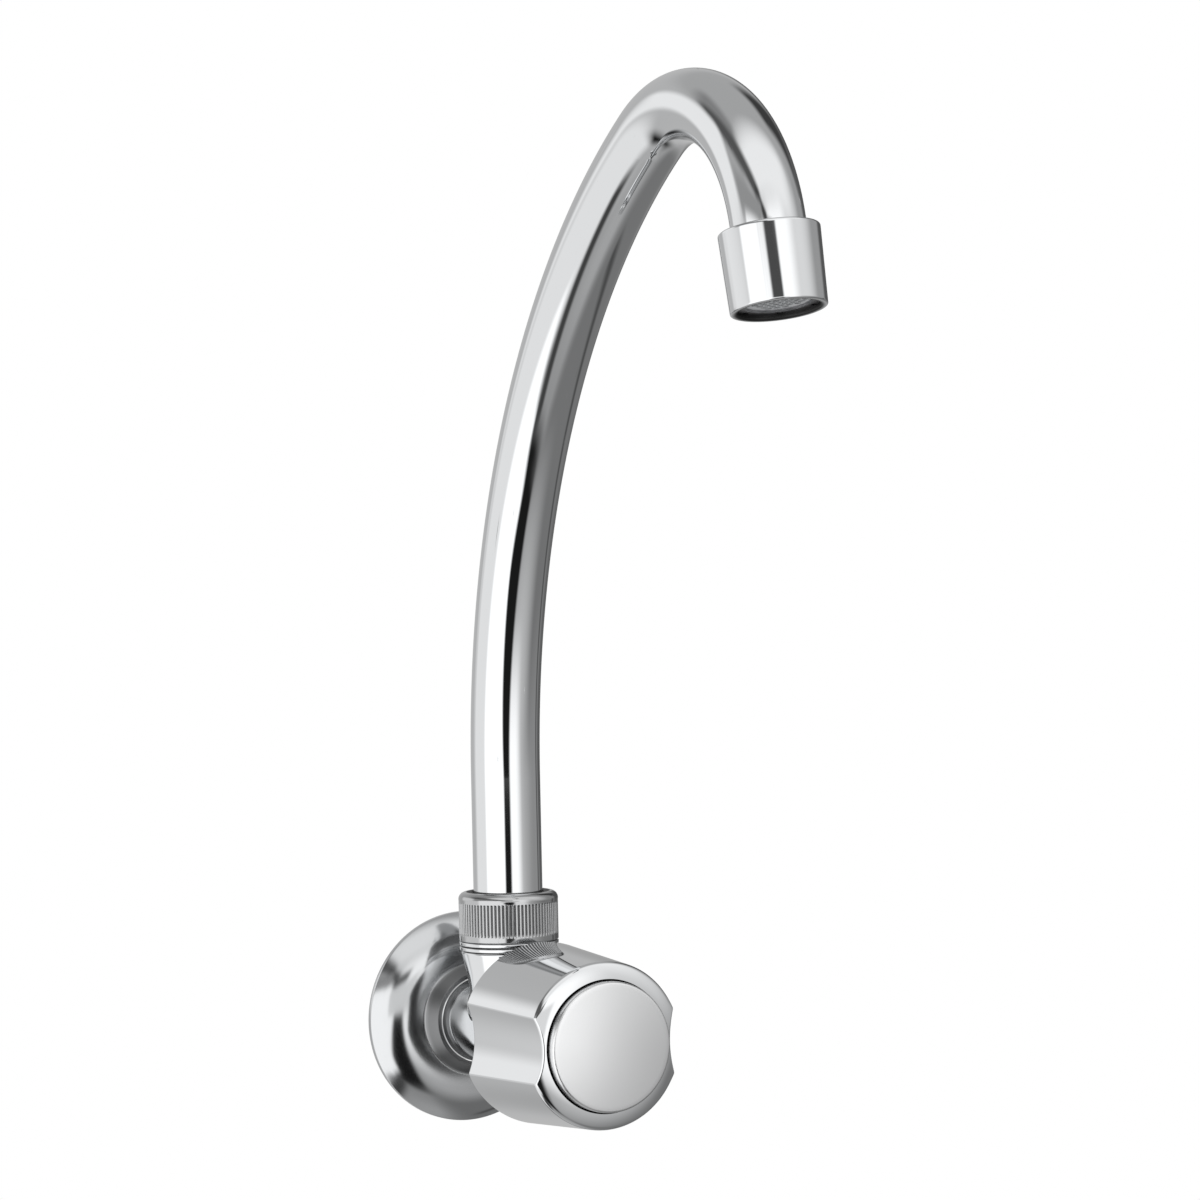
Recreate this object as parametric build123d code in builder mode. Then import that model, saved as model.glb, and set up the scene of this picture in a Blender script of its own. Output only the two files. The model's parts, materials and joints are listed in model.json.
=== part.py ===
from build123d import *
import os
from math import sqrt

# Wall-mounted utility sink faucet: one cold tap with a high swivel spout and a round knob.
# Millimetres. The origin is where the inlet line meets the wall. +Y runs into the wall,
# -Y runs out towards the user, +Z is up. "Reach" is a distance out from the wall.

os.makedirs("parts", exist_ok=True)

# Clearances shared by the whole tap
overrun = 1.0               # how far a cutting shape runs past the face it cuts
thread_clearance = 0.05     # radial, between a male and a female thread
running_clearance = 0.05    # radial, between a turning pin and its bore
seal_clearance = 0.02       # radial, between an O-ring and what it slides in or sits on
face_clearance = 0.05       # between flat faces that slide on each other
loose_clearance = 0.3       # round a turning piece that nothing guides there
slip_clearance = 0.1        # round a fixed piece that slides into place by hand

# Spout tube and its route: riser, long gentle bend, tight top bend, short tail
tube_diameter = 20.0
tube_wall = 1.2
riser_height = 72.6         # inlet line to the start of the long bend
long_bend_radius = 209.6
long_bend_angle = 58.6
top_bend_radius = 43.9
top_bend_angle = 108.5
tail_length = 1.0           # straight tube between the top bend and the nozzle
tube_socket_depth = 6.0     # how far the tube enters the nozzle

# Wall flange, spun from sheet brass
flange_diameter = 61.8
flange_wall = 1.2
flange_rim_depth = 1.8      # straight edge that stands on the wall
flange_dome_depth = 8.0     # wall to the top of the dome
flange_dome_middle_depth = 6.3
flange_dome_middle_diameter = 51.0
flange_collar_base_diameter = 33.0
flange_collar_depth = 12.0  # wall to the collar's lip
flange_lip_diameter = 27.8
flange_root_fillet = 0.9
flange_lip_fillet = 0.35

# Valve body: inlet thread, hub, seat, chamber and barrel, all on the inlet line
inlet_thread_diameter = 20.955
inlet_thread_length = 16.0
inlet_thread_chamfer = 1.0
inlet_bore_diameter = 14.0
hub_diameter = 25.0
barrel_reach = 56.0         # wall to the barrel's open end
barrel_chamfer = 0.8
seat_reach = 23.0           # wall to the valve seat
seat_land_thickness = 4.0
seat_bore_diameter = 11.0
chamber_diameter = 18.6
barrel_thread_diameter = 20.955
barrel_thread_length = 9.5

# Neck: the funnel under the nut, two thin rim rings and a threaded nipple
neck_reach = 32.2           # wall to the spout's swivel line
neck_height = 22.4          # inlet line to the rim rings
neck_root_diameter = 18.4
neck_top_step = 0.4         # cone's top inside the rim rings, all round
neck_root_fillet = 1.5
rim_height = 2.5
rim_groove_width = 0.35
rim_groove_depth = 0.4
nipple_wall = 3.0           # swivel bore to the crest of the nipple's thread
nipple_height = 9.2         # above the rim rings
nipple_chamfer = 0.6
swivel_bore_floor = 12.0    # inlet line to the floor of the swivel bore
neck_port_diameter = 13.0

# Union nut with a straight knurl
nut_wall = 2.4              # crest of the nipple's thread to the outside of the nut
nut_height = 14.2
nut_lip_thickness = 2.0
nut_plain_height = 2.1      # plain band under the knurl
nut_bottom_chamfer = 0.5
nut_shoulder_height = 2.5   # rounded shoulder above the knurl
nut_shoulder_width = 2.4
nut_shoulder_bulge_share = 0.76
knurl_height = 9.2
knurl_count = 80
knurl_depth = 0.35

# Spout collar, brazed into the foot of the tube, with its washers and O-rings
collar_bore_diameter = 12.6
collar_pin_step = 1.0       # swivel bore inside the tube's outside, all round
collar_flange_step = 1.2    # collar's flange beyond the tube's outside, all round
collar_flange_thickness = 1.8
collar_spigot_length = 8.0
collar_pin_gap = 1.0        # collar's lower end to the floor of the swivel bore
collar_chamfer = 0.4
collar_groove_width = 2.1
collar_oring_section = 1.6
collar_oring_heights = (18.0, 26.0)   # above the inlet line
lower_washer_thickness = 0.4
lower_washer_wall = 2.2
upper_washer_thickness = 0.6
upper_washer_slit = 1.0

# Headwork: a brass cartridge housing with a quarter-turn ceramic valve
skirt_diameter = 16.8
skirt_wall = 1.0
skirt_seat_gap = 1.0        # valve seat to the open end of the skirt
window_count = 4
window_angle = 58.0
window_first_angle = 45.0
housing_undercut = 1.0      # plain neck between skirt and thread, and under the hexagon
hexagon_across_flats = 21.0
hexagon_thickness = 4.0
nose_diameter = 15.0
nose_length = 5.2
gasket_thickness = 1.0
gasket_diameter = 24.0
seal_thickness = 2.4
seal_wall = 1.8
disc_diameter = 14.6
disc_thickness = 3.0
disc_port_inner_diameter = 4.2
disc_port_outer_diameter = 10.6
disc_port_angle = 78.0
handle_turn_angle = 90.0    # closed to fully open

# Spindle, its thrust washer, O-rings, stop ring and clip
stem_diameter = 10.0
foot_length = 13.4
foot_width = 6.0
foot_thickness = 3.5
key_length = 11.6
key_width = 4.0
key_depth = 1.2
thrust_washer_thickness = 0.7
thrust_washer_diameter = 14.2
stem_oring_section = 1.3
stem_groove_width = 1.8
stem_oring_offsets = (5.5, 10.5)      # from the housing's inner shoulder
stop_ring_thickness = 1.0
stop_tab_length = 1.8
stop_tab_angle = 40.0
stop_notch_depth = 2.0
stop_slack_angle = 3.0
clip_thickness = 0.8
clip_groove_depth = 0.7
clip_diameter = 13.6
clip_opening_angle = 70.0
clip_shoulder = 0.9         # stem left in front of the clip
spline_diameter = 8.0
spline_root_diameter = 7.2
spline_count = 20
spline_length = 12.0
screw_hole_depth = 14.0

# Knob: a hollow metal shell with two shallow scallops, an insert, a screw and a cap
knob_overlap = 2.4          # how far the knob's back edge covers the barrel
knob_back_diameter = 52.2
knob_length = 39.0          # back edge to the end of the tapered side
knob_front_diameter = 47.4
knob_ring_depth = 2.2       # tapered side to the inner edge of the front ring
knob_ring_bulge_share = 0.60
knob_wall = 2.2
knob_edge_fillet = 0.8
knob_corner_fillet = 1.2
scallop_centre_share = 1.856
scallop_radius_share = 1.011
spindle_end_gap = 1.05      # spindle's end to the web that carries the screw
web_thickness = 2.5
boss_diameter = 18.0
rib_count = 4
rib_first_angle = 45.0
rib_thickness = 1.8
cap_diameter = 36.8
cap_proud = 2.8             # front ring to the edge of the cap's face
cap_dome = 1.3
cap_wall = 1.5
cap_edge_fillet = 0.5
cap_recess_depth = 6.8      # front ring down to the step that the cap's skirt stands on
cap_seat_width = 3.0
insert_diameter = 13.0
insert_groove_width = 2.0
insert_groove_depth = 0.6
screw_diameter = 4.0
screw_head_diameter = 7.6
screw_head_height = 2.6
screw_slot_width = 1.0
screw_slot_depth = 1.2
screw_grip = 10.0           # length of the screw inside the spindle
screw_washer_diameter = 9.0
screw_washer_thickness = 0.8

# Outlet: a brazed nozzle with an aerator screwed up inside its mouth
nozzle_length = 21.4
nozzle_step = 3.5           # top of the nozzle beyond the tube's outside, all round
nozzle_taper = 1.3          # loss in diameter from top to bottom
nozzle_top_fillet = 0.8
nozzle_bottom_fillet = 0.6
nozzle_throat_step = 1.2    # throat inside the tube's outside, all round
nozzle_mouth_wall = 1.85    # thread in the mouth to the outside
nozzle_thread_depth = 11.0
aerator_recess = 1.4        # nozzle's rim to the aerator's rim
aerator_wall = 1.3
aerator_lip_width = 0.9
aerator_lip_thickness = 0.8
aerator_notch_count = 6
aerator_notch_width = 1.8
aerator_notch_depth = 0.7
aerator_washer_thickness = 1.0
aerator_washer_wall = 1.9
core_plate_thickness = 1.6
core_wall = 0.8
core_hole_diameter = 1.3
core_hole_rings = 3
core_margin_share = 0.65    # edge of the holed field past the last ring, in pitches
screen_count = 2
screen_thickness = 0.3
screen_spacing = 0.9
screen_hole_diameter = 1.0
screen_hole_rings = 5
screen_margin_share = 0.83
grid_thickness = 2.0
grid_cell_pitch = 2.2
grid_cell_wall = 0.35

# Sizes and places that follow from the sizes above
swivel_bore_diameter = tube_diameter - 2 * collar_pin_step
nipple_thread_diameter = swivel_bore_diameter + 2 * nipple_wall
nut_diameter = nipple_thread_diameter + 2 * nut_wall
rim_diameter = nut_diameter
neck_top_diameter = rim_diameter - 2 * neck_top_step
collar_flange_diameter = tube_diameter + 2 * collar_flange_step
nozzle_top_diameter = tube_diameter + 2 * nozzle_step
nozzle_bottom_diameter = nozzle_top_diameter - nozzle_taper
nozzle_throat_diameter = tube_diameter - 2 * nozzle_throat_step
nozzle_thread_diameter = nozzle_bottom_diameter - 2 * nozzle_mouth_wall
neck_top = neck_height + rim_height
nipple_top = neck_top + nipple_height
nut_top = neck_top + nut_height
collar_flange_base = nipple_top + lower_washer_thickness
tube_foot = collar_flange_base + collar_flange_thickness
tube_bore = tube_diameter - 2 * tube_wall
hub_slip_diameter = hub_diameter + 2 * slip_clearance
knob_back_reach = barrel_reach - knob_overlap
knob_front_reach = knob_back_reach + knob_length
knob_ring_reach = knob_front_reach + knob_ring_depth
cap_seat_reach = knob_ring_reach - cap_recess_depth
cap_edge_reach = knob_ring_reach + cap_proud

# Planes and axes. On turning_plane an outline is (reach, radius), on neck_plane it is
# (radius, height) and on outlet_plane (radius, depth).
turning_plane = Plane(origin=(0, 0, 0), x_dir=(0, -1, 0), z_dir=(-1, 0, 0))
neck_plane = Plane(origin=(0, -neck_reach, 0), x_dir=(1, 0, 0), z_dir=(0, -1, 0))
inlet_axis = Axis((0, 0, 0), (0, -1, 0))
swivel_axis = Axis((0, -neck_reach, 0), (0, 0, 1))


def facing(reach):
    """Plane parallel to the wall at a reach, seen from the front: x right, y up."""
    return Plane(origin=(0, -reach, 0), x_dir=(1, 0, 0), z_dir=(0, -1, 0))


def neck_level(height):
    """Horizontal plane at a height, centred on the swivel line."""
    return Plane(origin=(0, -neck_reach, height), x_dir=(1, 0, 0), z_dir=(0, 0, 1))


def outline(plane, points):
    """Flat face with straight sides through the points."""
    with BuildSketch(plane) as face:
        with BuildLine():
            Polyline(*points, close=True)
        make_face()
    return face.sketch


def ring_section(plane, low, high, inner, outer):
    """Half section of a plain ring between two places along its line."""
    corners = [(low, inner), (high, inner), (high, outer), (low, outer)]
    if plane != turning_plane:
        corners = [(radius, place) for place, radius in corners]
    return outline(plane, corners)


def sector(plane, inner, outer, middle, spread):
    """Part of a flat ring, spread degrees wide about the middle angle."""
    with BuildSketch(plane) as face:
        with BuildLine():
            near = CenterArc((0, 0), inner, middle - spread / 2, spread)
            far = CenterArc((0, 0), outer, middle - spread / 2, spread)
            Line(near @ 0, far @ 0)
            Line(near @ 1, far @ 1)
        make_face()
    return face.sketch


# Route of the spout tube, drawn in the plane that holds both the inlet and the swivel line
with BuildLine(Plane.YZ) as tube_route:
    riser = Line((-neck_reach, tube_foot), (-neck_reach, riser_height))
    long_bend = JernArc(riser @ 1, riser % 1, long_bend_radius, long_bend_angle)
    top_bend = JernArc(long_bend @ 1, long_bend % 1, top_bend_radius, top_bend_angle)
    tail_end = top_bend @ 1 + (top_bend % 1) * (tail_length + tube_socket_depth)
    Line(top_bend @ 1, tail_end)

outlet_direction = tube_route.line % 1
outlet_top = tube_route.line @ 1 - outlet_direction * tube_socket_depth
outlet_axis = Axis(outlet_top, outlet_direction)
outlet_plane = Plane(
    origin=outlet_top, x_dir=(1, 0, 0), z_dir=Vector(1, 0, 0).cross(outlet_direction)
)


def outlet_level(depth):
    """Plane across the nozzle at a depth below its top, looking down the stream."""
    return Plane(
        origin=outlet_top + outlet_direction * depth, x_dir=(1, 0, 0), z_dir=outlet_direction
    )


# Wall flange: straight rim, shallow dome, and a tapered collar with a rounded lip
flange_radius = flange_diameter / 2
dome_middle = (flange_dome_middle_depth, flange_dome_middle_diameter / 2)
collar_base = (flange_dome_depth, flange_collar_base_diameter / 2)
lip_edge = (flange_collar_depth, flange_lip_diameter / 2)
with BuildPart() as wall_flange:
    with BuildSketch(turning_plane) as flange_section:
        with BuildLine():
            Line((0, flange_radius), (flange_rim_depth, flange_radius))
            ThreePointArc((flange_rim_depth, flange_radius), dome_middle, collar_base)
            Line(collar_base, lip_edge)
            Line(lip_edge, (flange_collar_depth, hub_slip_diameter / 2))
            Line(
                (flange_collar_depth, hub_slip_diameter / 2),
                (collar_base[0] - flange_wall, collar_base[1] - flange_wall),
            )
            ThreePointArc(
                (collar_base[0] - flange_wall, collar_base[1] - flange_wall),
                (dome_middle[0] - flange_wall, dome_middle[1] - flange_wall),
                (flange_rim_depth - flange_wall, flange_radius - flange_wall),
            )
            Line(
                (flange_rim_depth - flange_wall, flange_radius - flange_wall),
                (0, flange_radius - flange_wall),
            )
            Line((0, flange_radius - flange_wall), (0, flange_radius))
        make_face()
        lip_corners = flange_section.vertices().group_by(Axis.X)[-1]
        fillet(lip_corners, radius=flange_lip_fillet)
        root_corner = flange_section.vertices().sort_by_distance((*collar_base, 0))[0]
        fillet(root_corner, radius=flange_root_fillet)
    revolve(axis=inlet_axis)
wall_flange.part.label = "wall_flange"
export_step(wall_flange.part, "parts/wall_flange.step")

# Valve body: one casting with the inlet tail, hub, barrel, neck and nipple
thread_radius = inlet_thread_diameter / 2
rim_radius = rim_diameter / 2
nipple_radius = nipple_thread_diameter / 2 - thread_clearance
groove_middle = neck_height + rim_height / 2
with BuildPart() as valve_body:
    tail_profile = [
        (-inlet_thread_length, 0),
        (-inlet_thread_length, thread_radius - inlet_thread_chamfer),
        (inlet_thread_chamfer - inlet_thread_length, thread_radius),
        (0, thread_radius),
        (0, hub_diameter / 2),
        (barrel_reach - barrel_chamfer, hub_diameter / 2),
        (barrel_reach, hub_diameter / 2 - barrel_chamfer),
        (barrel_reach, 0),
    ]
    revolve(outline(turning_plane, tail_profile), axis=inlet_axis)
    cone_profile = [
        (0, 0),
        (neck_root_diameter / 2, 0),
        (neck_top_diameter / 2, neck_height),
        (0, neck_height),
    ]
    revolve(outline(neck_plane, cone_profile), axis=swivel_axis)
    # The saddle line, where the cone leaves the barrel, is the only new edge of no plain kind
    saddle_line = valve_body.edges(Select.LAST).filter_by(GeomType.LINE, reverse=True)
    saddle_line = saddle_line.filter_by(GeomType.CIRCLE, reverse=True)
    fillet(saddle_line, radius=neck_root_fillet)
    nipple_profile = [
        (0, neck_height),
        (rim_radius, neck_height),
        (rim_radius, groove_middle - rim_groove_width / 2),
        (rim_radius - rim_groove_depth, groove_middle - rim_groove_width / 2),
        (rim_radius - rim_groove_depth, groove_middle + rim_groove_width / 2),
        (rim_radius, groove_middle + rim_groove_width / 2),
        (rim_radius, neck_top),
        (nipple_radius, neck_top),
        (nipple_radius, nipple_top - nipple_chamfer),
        (nipple_radius - nipple_chamfer, nipple_top),
        (0, nipple_top),
    ]
    revolve(outline(neck_plane, nipple_profile), axis=swivel_axis)
    # Waterways: inlet bore, seat bore, chamber and thread for the headwork
    bore_profile = [
        (-inlet_thread_length - overrun, 0),
        (-inlet_thread_length - overrun, inlet_bore_diameter / 2),
        (seat_reach - seat_land_thickness, inlet_bore_diameter / 2),
        (seat_reach - seat_land_thickness, seat_bore_diameter / 2),
        (seat_reach, seat_bore_diameter / 2),
        (seat_reach, chamber_diameter / 2),
        (barrel_reach - barrel_thread_length, chamber_diameter / 2),
        (barrel_reach - barrel_thread_length, barrel_thread_diameter / 2),
        (barrel_reach + overrun, barrel_thread_diameter / 2),
        (barrel_reach + overrun, 0),
    ]
    revolve(outline(turning_plane, bore_profile), axis=inlet_axis, mode=Mode.SUBTRACT)
    # Port up into the neck, and the bore that the spout's collar turns in
    port_profile = [
        (0, 0),
        (neck_port_diameter / 2, 0),
        (neck_port_diameter / 2, swivel_bore_floor),
        (swivel_bore_diameter / 2, swivel_bore_floor),
        (swivel_bore_diameter / 2, nipple_top + overrun),
        (0, nipple_top + overrun),
    ]
    revolve(outline(neck_plane, port_profile), axis=swivel_axis, mode=Mode.SUBTRACT)
valve_body.part.label = "valve_body"
export_step(valve_body.part, "parts/valve_body.step")

# Union nut: threaded skirt, knurled band, rounded shoulder and an inward lip
nut_radius = nut_diameter / 2
shoulder_base = nut_top - nut_shoulder_height
shoulder_middle = (
    nut_radius - nut_shoulder_width * (1 - nut_shoulder_bulge_share),
    shoulder_base + nut_shoulder_height * nut_shoulder_bulge_share,
)
knurl_base = neck_top + nut_plain_height
with BuildPart() as swivel_nut:
    with BuildSketch(neck_plane):
        with BuildLine():
            Line(
                (nipple_thread_diameter / 2, neck_top),
                (nut_radius - nut_bottom_chamfer, neck_top),
            )
            Line(
                (nut_radius - nut_bottom_chamfer, neck_top),
                (nut_radius, neck_top + nut_bottom_chamfer),
            )
            Line((nut_radius, neck_top + nut_bottom_chamfer), (nut_radius, shoulder_base))
            ThreePointArc(
                (nut_radius, shoulder_base),
                shoulder_middle,
                (nut_radius - nut_shoulder_width, nut_top),
            )
            Line(
                (nut_radius - nut_shoulder_width, nut_top),
                (tube_diameter / 2 + loose_clearance, nut_top),
            )
            Line(
                (tube_diameter / 2 + loose_clearance, nut_top),
                (tube_diameter / 2 + loose_clearance, nut_top - nut_lip_thickness),
            )
            Line(
                (tube_diameter / 2 + loose_clearance, nut_top - nut_lip_thickness),
                (nipple_thread_diameter / 2, nut_top - nut_lip_thickness),
            )
            Line(
                (nipple_thread_diameter / 2, nut_top - nut_lip_thickness),
                (nipple_thread_diameter / 2, neck_top),
            )
        make_face()
    revolve(axis=swivel_axis)
    with BuildSketch(neck_level(knurl_base)):
        with PolarLocations(nut_radius, knurl_count):
            Rectangle(2 * knurl_depth, 2 * knurl_depth, rotation=45)
    extrude(amount=knurl_height, mode=Mode.SUBTRACT)
swivel_nut.part.label = "swivel_nut"
export_step(swivel_nut.part, "parts/swivel_nut.step")

# Seat seal: a rubber ring between the valve seat and the fixed disc
skirt_bore = skirt_diameter - 2 * skirt_wall
seal_front = seat_reach + seal_thickness
with BuildPart() as seat_seal:
    seal_outer = disc_diameter / 2
    revolve(
        ring_section(turning_plane, seat_reach, seal_front, seal_outer - seal_wall, seal_outer),
        axis=inlet_axis,
    )
seat_seal.part.label = "seat_seal"
export_step(seat_seal.part, "parts/seat_seal.step")

# The two ceramic discs. Both have two ports; they line up after a quarter turn.
fixed_disc_front = seal_front + disc_thickness
moving_disc_back = fixed_disc_front + face_clearance
moving_disc_front = moving_disc_back + disc_thickness


def disc_ports(reach, middle):
    """Two opposite port outlines on a disc's face."""
    inner = disc_port_inner_diameter / 2
    outer = disc_port_outer_diameter / 2
    upper = sector(facing(reach), inner, outer, middle, disc_port_angle)
    lower = sector(facing(reach), inner, outer, middle + 180, disc_port_angle)
    return [upper, lower]


with BuildPart() as fixed_disc:
    with BuildSketch(facing(seal_front)):
        Circle(disc_diameter / 2)
    extrude(amount=disc_thickness)
    for port in disc_ports(seal_front, 90):
        extrude(port, amount=disc_thickness, mode=Mode.SUBTRACT)
fixed_disc.part.label = "fixed_disc"
export_step(fixed_disc.part, "parts/fixed_disc.step")

moving_disc_radius = disc_diameter / 2 - slip_clearance
with BuildPart() as moving_disc:
    with BuildSketch(facing(moving_disc_back)):
        Circle(moving_disc_radius)
    extrude(amount=disc_thickness)
    for port in disc_ports(moving_disc_back, 90 - handle_turn_angle):
        extrude(port, amount=disc_thickness, mode=Mode.SUBTRACT)
    with BuildSketch(facing(moving_disc_front)):
        Rectangle(key_width + 2 * slip_clearance, key_length + 2 * slip_clearance)
    extrude(amount=-key_depth - face_clearance, mode=Mode.SUBTRACT)
moving_disc.part.label = "moving_disc"
export_step(moving_disc.part, "parts/moving_disc.step")

# Places along the headwork
foot_front = moving_disc_front + foot_thickness
washer_back = foot_front + face_clearance
housing_shoulder = washer_back + thrust_washer_thickness
hexagon_back = barrel_reach + gasket_thickness
hexagon_front = hexagon_back + hexagon_thickness
nose_front = hexagon_front + nose_length
stem_radius = stem_diameter / 2
stem_bore = stem_radius + running_clearance

# Cartridge housing: windowed skirt, thread, hexagon and a nose with the stop notch
with BuildPart() as cartridge_housing:
    barrel_thread_back = barrel_reach - barrel_thread_length + housing_undercut
    housing_thread_radius = barrel_thread_diameter / 2 - thread_clearance
    housing_profile = [
        (seat_reach + skirt_seat_gap, skirt_bore / 2),
        (seat_reach + skirt_seat_gap, skirt_diameter / 2),
        (barrel_thread_back, skirt_diameter / 2),
        (barrel_thread_back, housing_thread_radius),
        (barrel_reach, housing_thread_radius),
        (hexagon_back, housing_thread_radius),
        (hexagon_back, nose_diameter / 2),
        (nose_front, nose_diameter / 2),
        (nose_front, stem_bore),
        (housing_shoulder, stem_bore),
        (housing_shoulder, skirt_bore / 2),
    ]
    revolve(outline(turning_plane, housing_profile), axis=inlet_axis)
    with BuildSketch(facing(hexagon_back)):
        RegularPolygon(hexagon_across_flats / 2, 6, major_radius=False)
        Circle(nose_diameter / 2 - overrun, mode=Mode.SUBTRACT)
    extrude(amount=hexagon_thickness)
    # Windows let the water out of the skirt into the chamber round it
    window_height = foot_front - moving_disc_front
    for number in range(window_count):
        middle = window_first_angle + number * 360 / window_count
        window = sector(
            facing(moving_disc_front),
            skirt_bore / 2 - overrun,
            skirt_diameter / 2 + overrun,
            middle,
            window_angle,
        )
        extrude(window, amount=window_height, mode=Mode.SUBTRACT)
    # Notch in the nose that the stop ring's tab travels in
    notch_angle = handle_turn_angle + stop_tab_angle + 2 * stop_slack_angle
    notch = sector(
        facing(nose_front - stop_notch_depth),
        stem_bore - overrun,
        nose_diameter / 2 + overrun,
        90 + handle_turn_angle / 2,
        notch_angle,
    )
    extrude(notch, amount=stop_notch_depth + overrun, mode=Mode.SUBTRACT)
cartridge_housing.part.label = "cartridge_housing"
export_step(cartridge_housing.part, "parts/cartridge_housing.step")

# Fibre gasket between the hexagon and the barrel's open end
with BuildPart() as cartridge_gasket:
    revolve(
        ring_section(
            turning_plane,
            barrel_reach,
            hexagon_back,
            housing_thread_radius + slip_clearance,
            gasket_diameter / 2,
        ),
        axis=inlet_axis,
    )
cartridge_gasket.part.label = "cartridge_gasket"
export_step(cartridge_gasket.part, "parts/cartridge_gasket.step")

# Thrust washer under the housing's inner shoulder
with BuildPart() as thrust_washer:
    revolve(
        ring_section(
            turning_plane,
            washer_back,
            housing_shoulder,
            stem_radius + slip_clearance,
            thrust_washer_diameter / 2,
        ),
        axis=inlet_axis,
    )
thrust_washer.part.label = "thrust_washer"
export_step(thrust_washer.part, "parts/thrust_washer.step")

# Places along the spindle's front end
stop_ring_back = nose_front + face_clearance
stop_ring_front = stop_ring_back + stop_ring_thickness
clip_front = stop_ring_front + clip_thickness
stem_front = clip_front + clip_shoulder
spline_front = stem_front + spline_length
web_reach = spline_front + spindle_end_gap
insert_back = stem_front + face_clearance
boss_length = web_reach - insert_back
clip_groove_radius = stem_radius - clip_groove_depth
stem_groove_radius = stem_radius - stem_oring_section + running_clearance - seal_clearance


def spline_outline(plane, tip_diameter, root_diameter):
    """Round outline with even teeth from the root to the tip diameter."""
    tooth_angle = 360 / spline_count
    with BuildSketch(plane) as face:
        Circle(root_diameter / 2)
        for number in range(spline_count):
            with BuildLine():
                start = number * tooth_angle - tooth_angle / 4
                near = CenterArc((0, 0), root_diameter / 4, start, tooth_angle / 2)
                far = CenterArc((0, 0), tip_diameter / 2, start, tooth_angle / 2)
                Line(near @ 0, far @ 0)
                Line(near @ 1, far @ 1)
            make_face()
    return face.sketch


# Spindle: foot with a key for the moving disc, grooved stem, splined end with a screw hole
with BuildPart() as spindle:
    with BuildSketch(facing(moving_disc_front)):
        SlotOverall(foot_length, foot_width, rotation=90)
    extrude(amount=foot_thickness)
    with BuildSketch(facing(moving_disc_front - key_depth)):
        Rectangle(key_width, key_length)
    extrude(amount=key_depth)
    groove_places = [housing_shoulder + offset for offset in stem_oring_offsets]
    stem_profile = [(foot_front - overrun, 0), (foot_front - overrun, stem_radius)]
    for place in groove_places:
        stem_profile += [
            (place - stem_groove_width / 2, stem_radius),
            (place - stem_groove_width / 2, stem_groove_radius),
            (place + stem_groove_width / 2, stem_groove_radius),
            (place + stem_groove_width / 2, stem_radius),
        ]
    stem_profile += [
        (stop_ring_front, stem_radius),
        (stop_ring_front, clip_groove_radius),
        (clip_front, clip_groove_radius),
        (clip_front, stem_radius),
        (stem_front, stem_radius),
        (stem_front, 0),
    ]
    revolve(outline(turning_plane, stem_profile), axis=inlet_axis)
    extrude(
        spline_outline(facing(stem_front), spline_diameter, spline_root_diameter),
        amount=spline_length,
    )
    with BuildSketch(facing(spline_front)):
        Circle(screw_diameter / 2)
    extrude(amount=-screw_hole_depth, mode=Mode.SUBTRACT)
spindle.part.label = "spindle"
export_step(spindle.part, "parts/spindle.step")

# Two O-rings on the stem
with BuildPart() as spindle_orings:
    for place in groove_places:
        with BuildSketch(turning_plane):
            with Locations((place, stem_groove_radius + stem_oring_section / 2)):
                Circle(stem_oring_section / 2 - seal_clearance / 2)
        revolve(axis=inlet_axis)
spindle_orings.part.label = "spindle_orings"
export_step(spindle_orings.part, "parts/spindle_orings.step")

# Stop ring on the stem, with a tab that meets the ends of the nose's notch
with BuildPart() as stop_ring:
    tab_inner = stem_bore + slip_clearance
    tab_outer = nose_diameter / 2 - slip_clearance
    revolve(
        ring_section(
            turning_plane, stop_ring_back, stop_ring_front, stem_radius, nose_diameter / 2
        ),
        axis=inlet_axis,
    )
    tab = sector(facing(stop_ring_back), tab_inner, tab_outer, 90, stop_tab_angle)
    extrude(tab, amount=-stop_tab_length)
stop_ring.part.label = "stop_ring"
export_step(stop_ring.part, "parts/stop_ring.step")

# Open spring clip in the stem's groove
with BuildPart() as spindle_clip:
    clip = sector(
        facing(stop_ring_front),
        clip_groove_radius,
        clip_diameter / 2,
        90,
        360 - clip_opening_angle,
    )
    extrude(clip, amount=clip_thickness)
spindle_clip.part.label = "spindle_clip"
export_step(spindle_clip.part, "parts/spindle_clip.step")


def knob_radius(reach):
    """Radius of the knob's tapered side at a reach."""
    along = (reach - knob_back_reach) / (knob_front_reach - knob_back_reach)
    return (knob_back_diameter + (knob_front_diameter - knob_back_diameter) * along) / 2


def knob_outline(reach, wall):
    """The knob's round outline with its two scallops, moved in by a wall."""
    radius = knob_radius(reach)
    corner = knob_corner_fillet * radius / knob_radius(knob_back_reach)
    with BuildSketch(facing(reach)) as face:
        Circle(radius - wall)
        with PolarLocations(scallop_centre_share * radius, 2):
            Circle(scallop_radius_share * radius + wall, mode=Mode.SUBTRACT)
        fillet(face.vertices(), radius=corner)
    return face.sketch.faces()[0]


# The knob's hollow: the outline inside the wall, with the boss and its ribs left standing
cavity_back = knob_back_reach - overrun
with BuildPart() as knob_cavity:
    loft([knob_outline(cavity_back, knob_wall), knob_outline(web_reach, knob_wall)], ruled=True)
    with BuildSketch(facing(insert_back)):
        Circle(boss_diameter / 2)
        with PolarLocations(0, rib_count, start_angle=rib_first_angle):
            Rectangle(knob_back_diameter, rib_thickness, align=(Align.MIN, Align.CENTER))
    extrude(amount=boss_length, mode=Mode.SUBTRACT)

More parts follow.
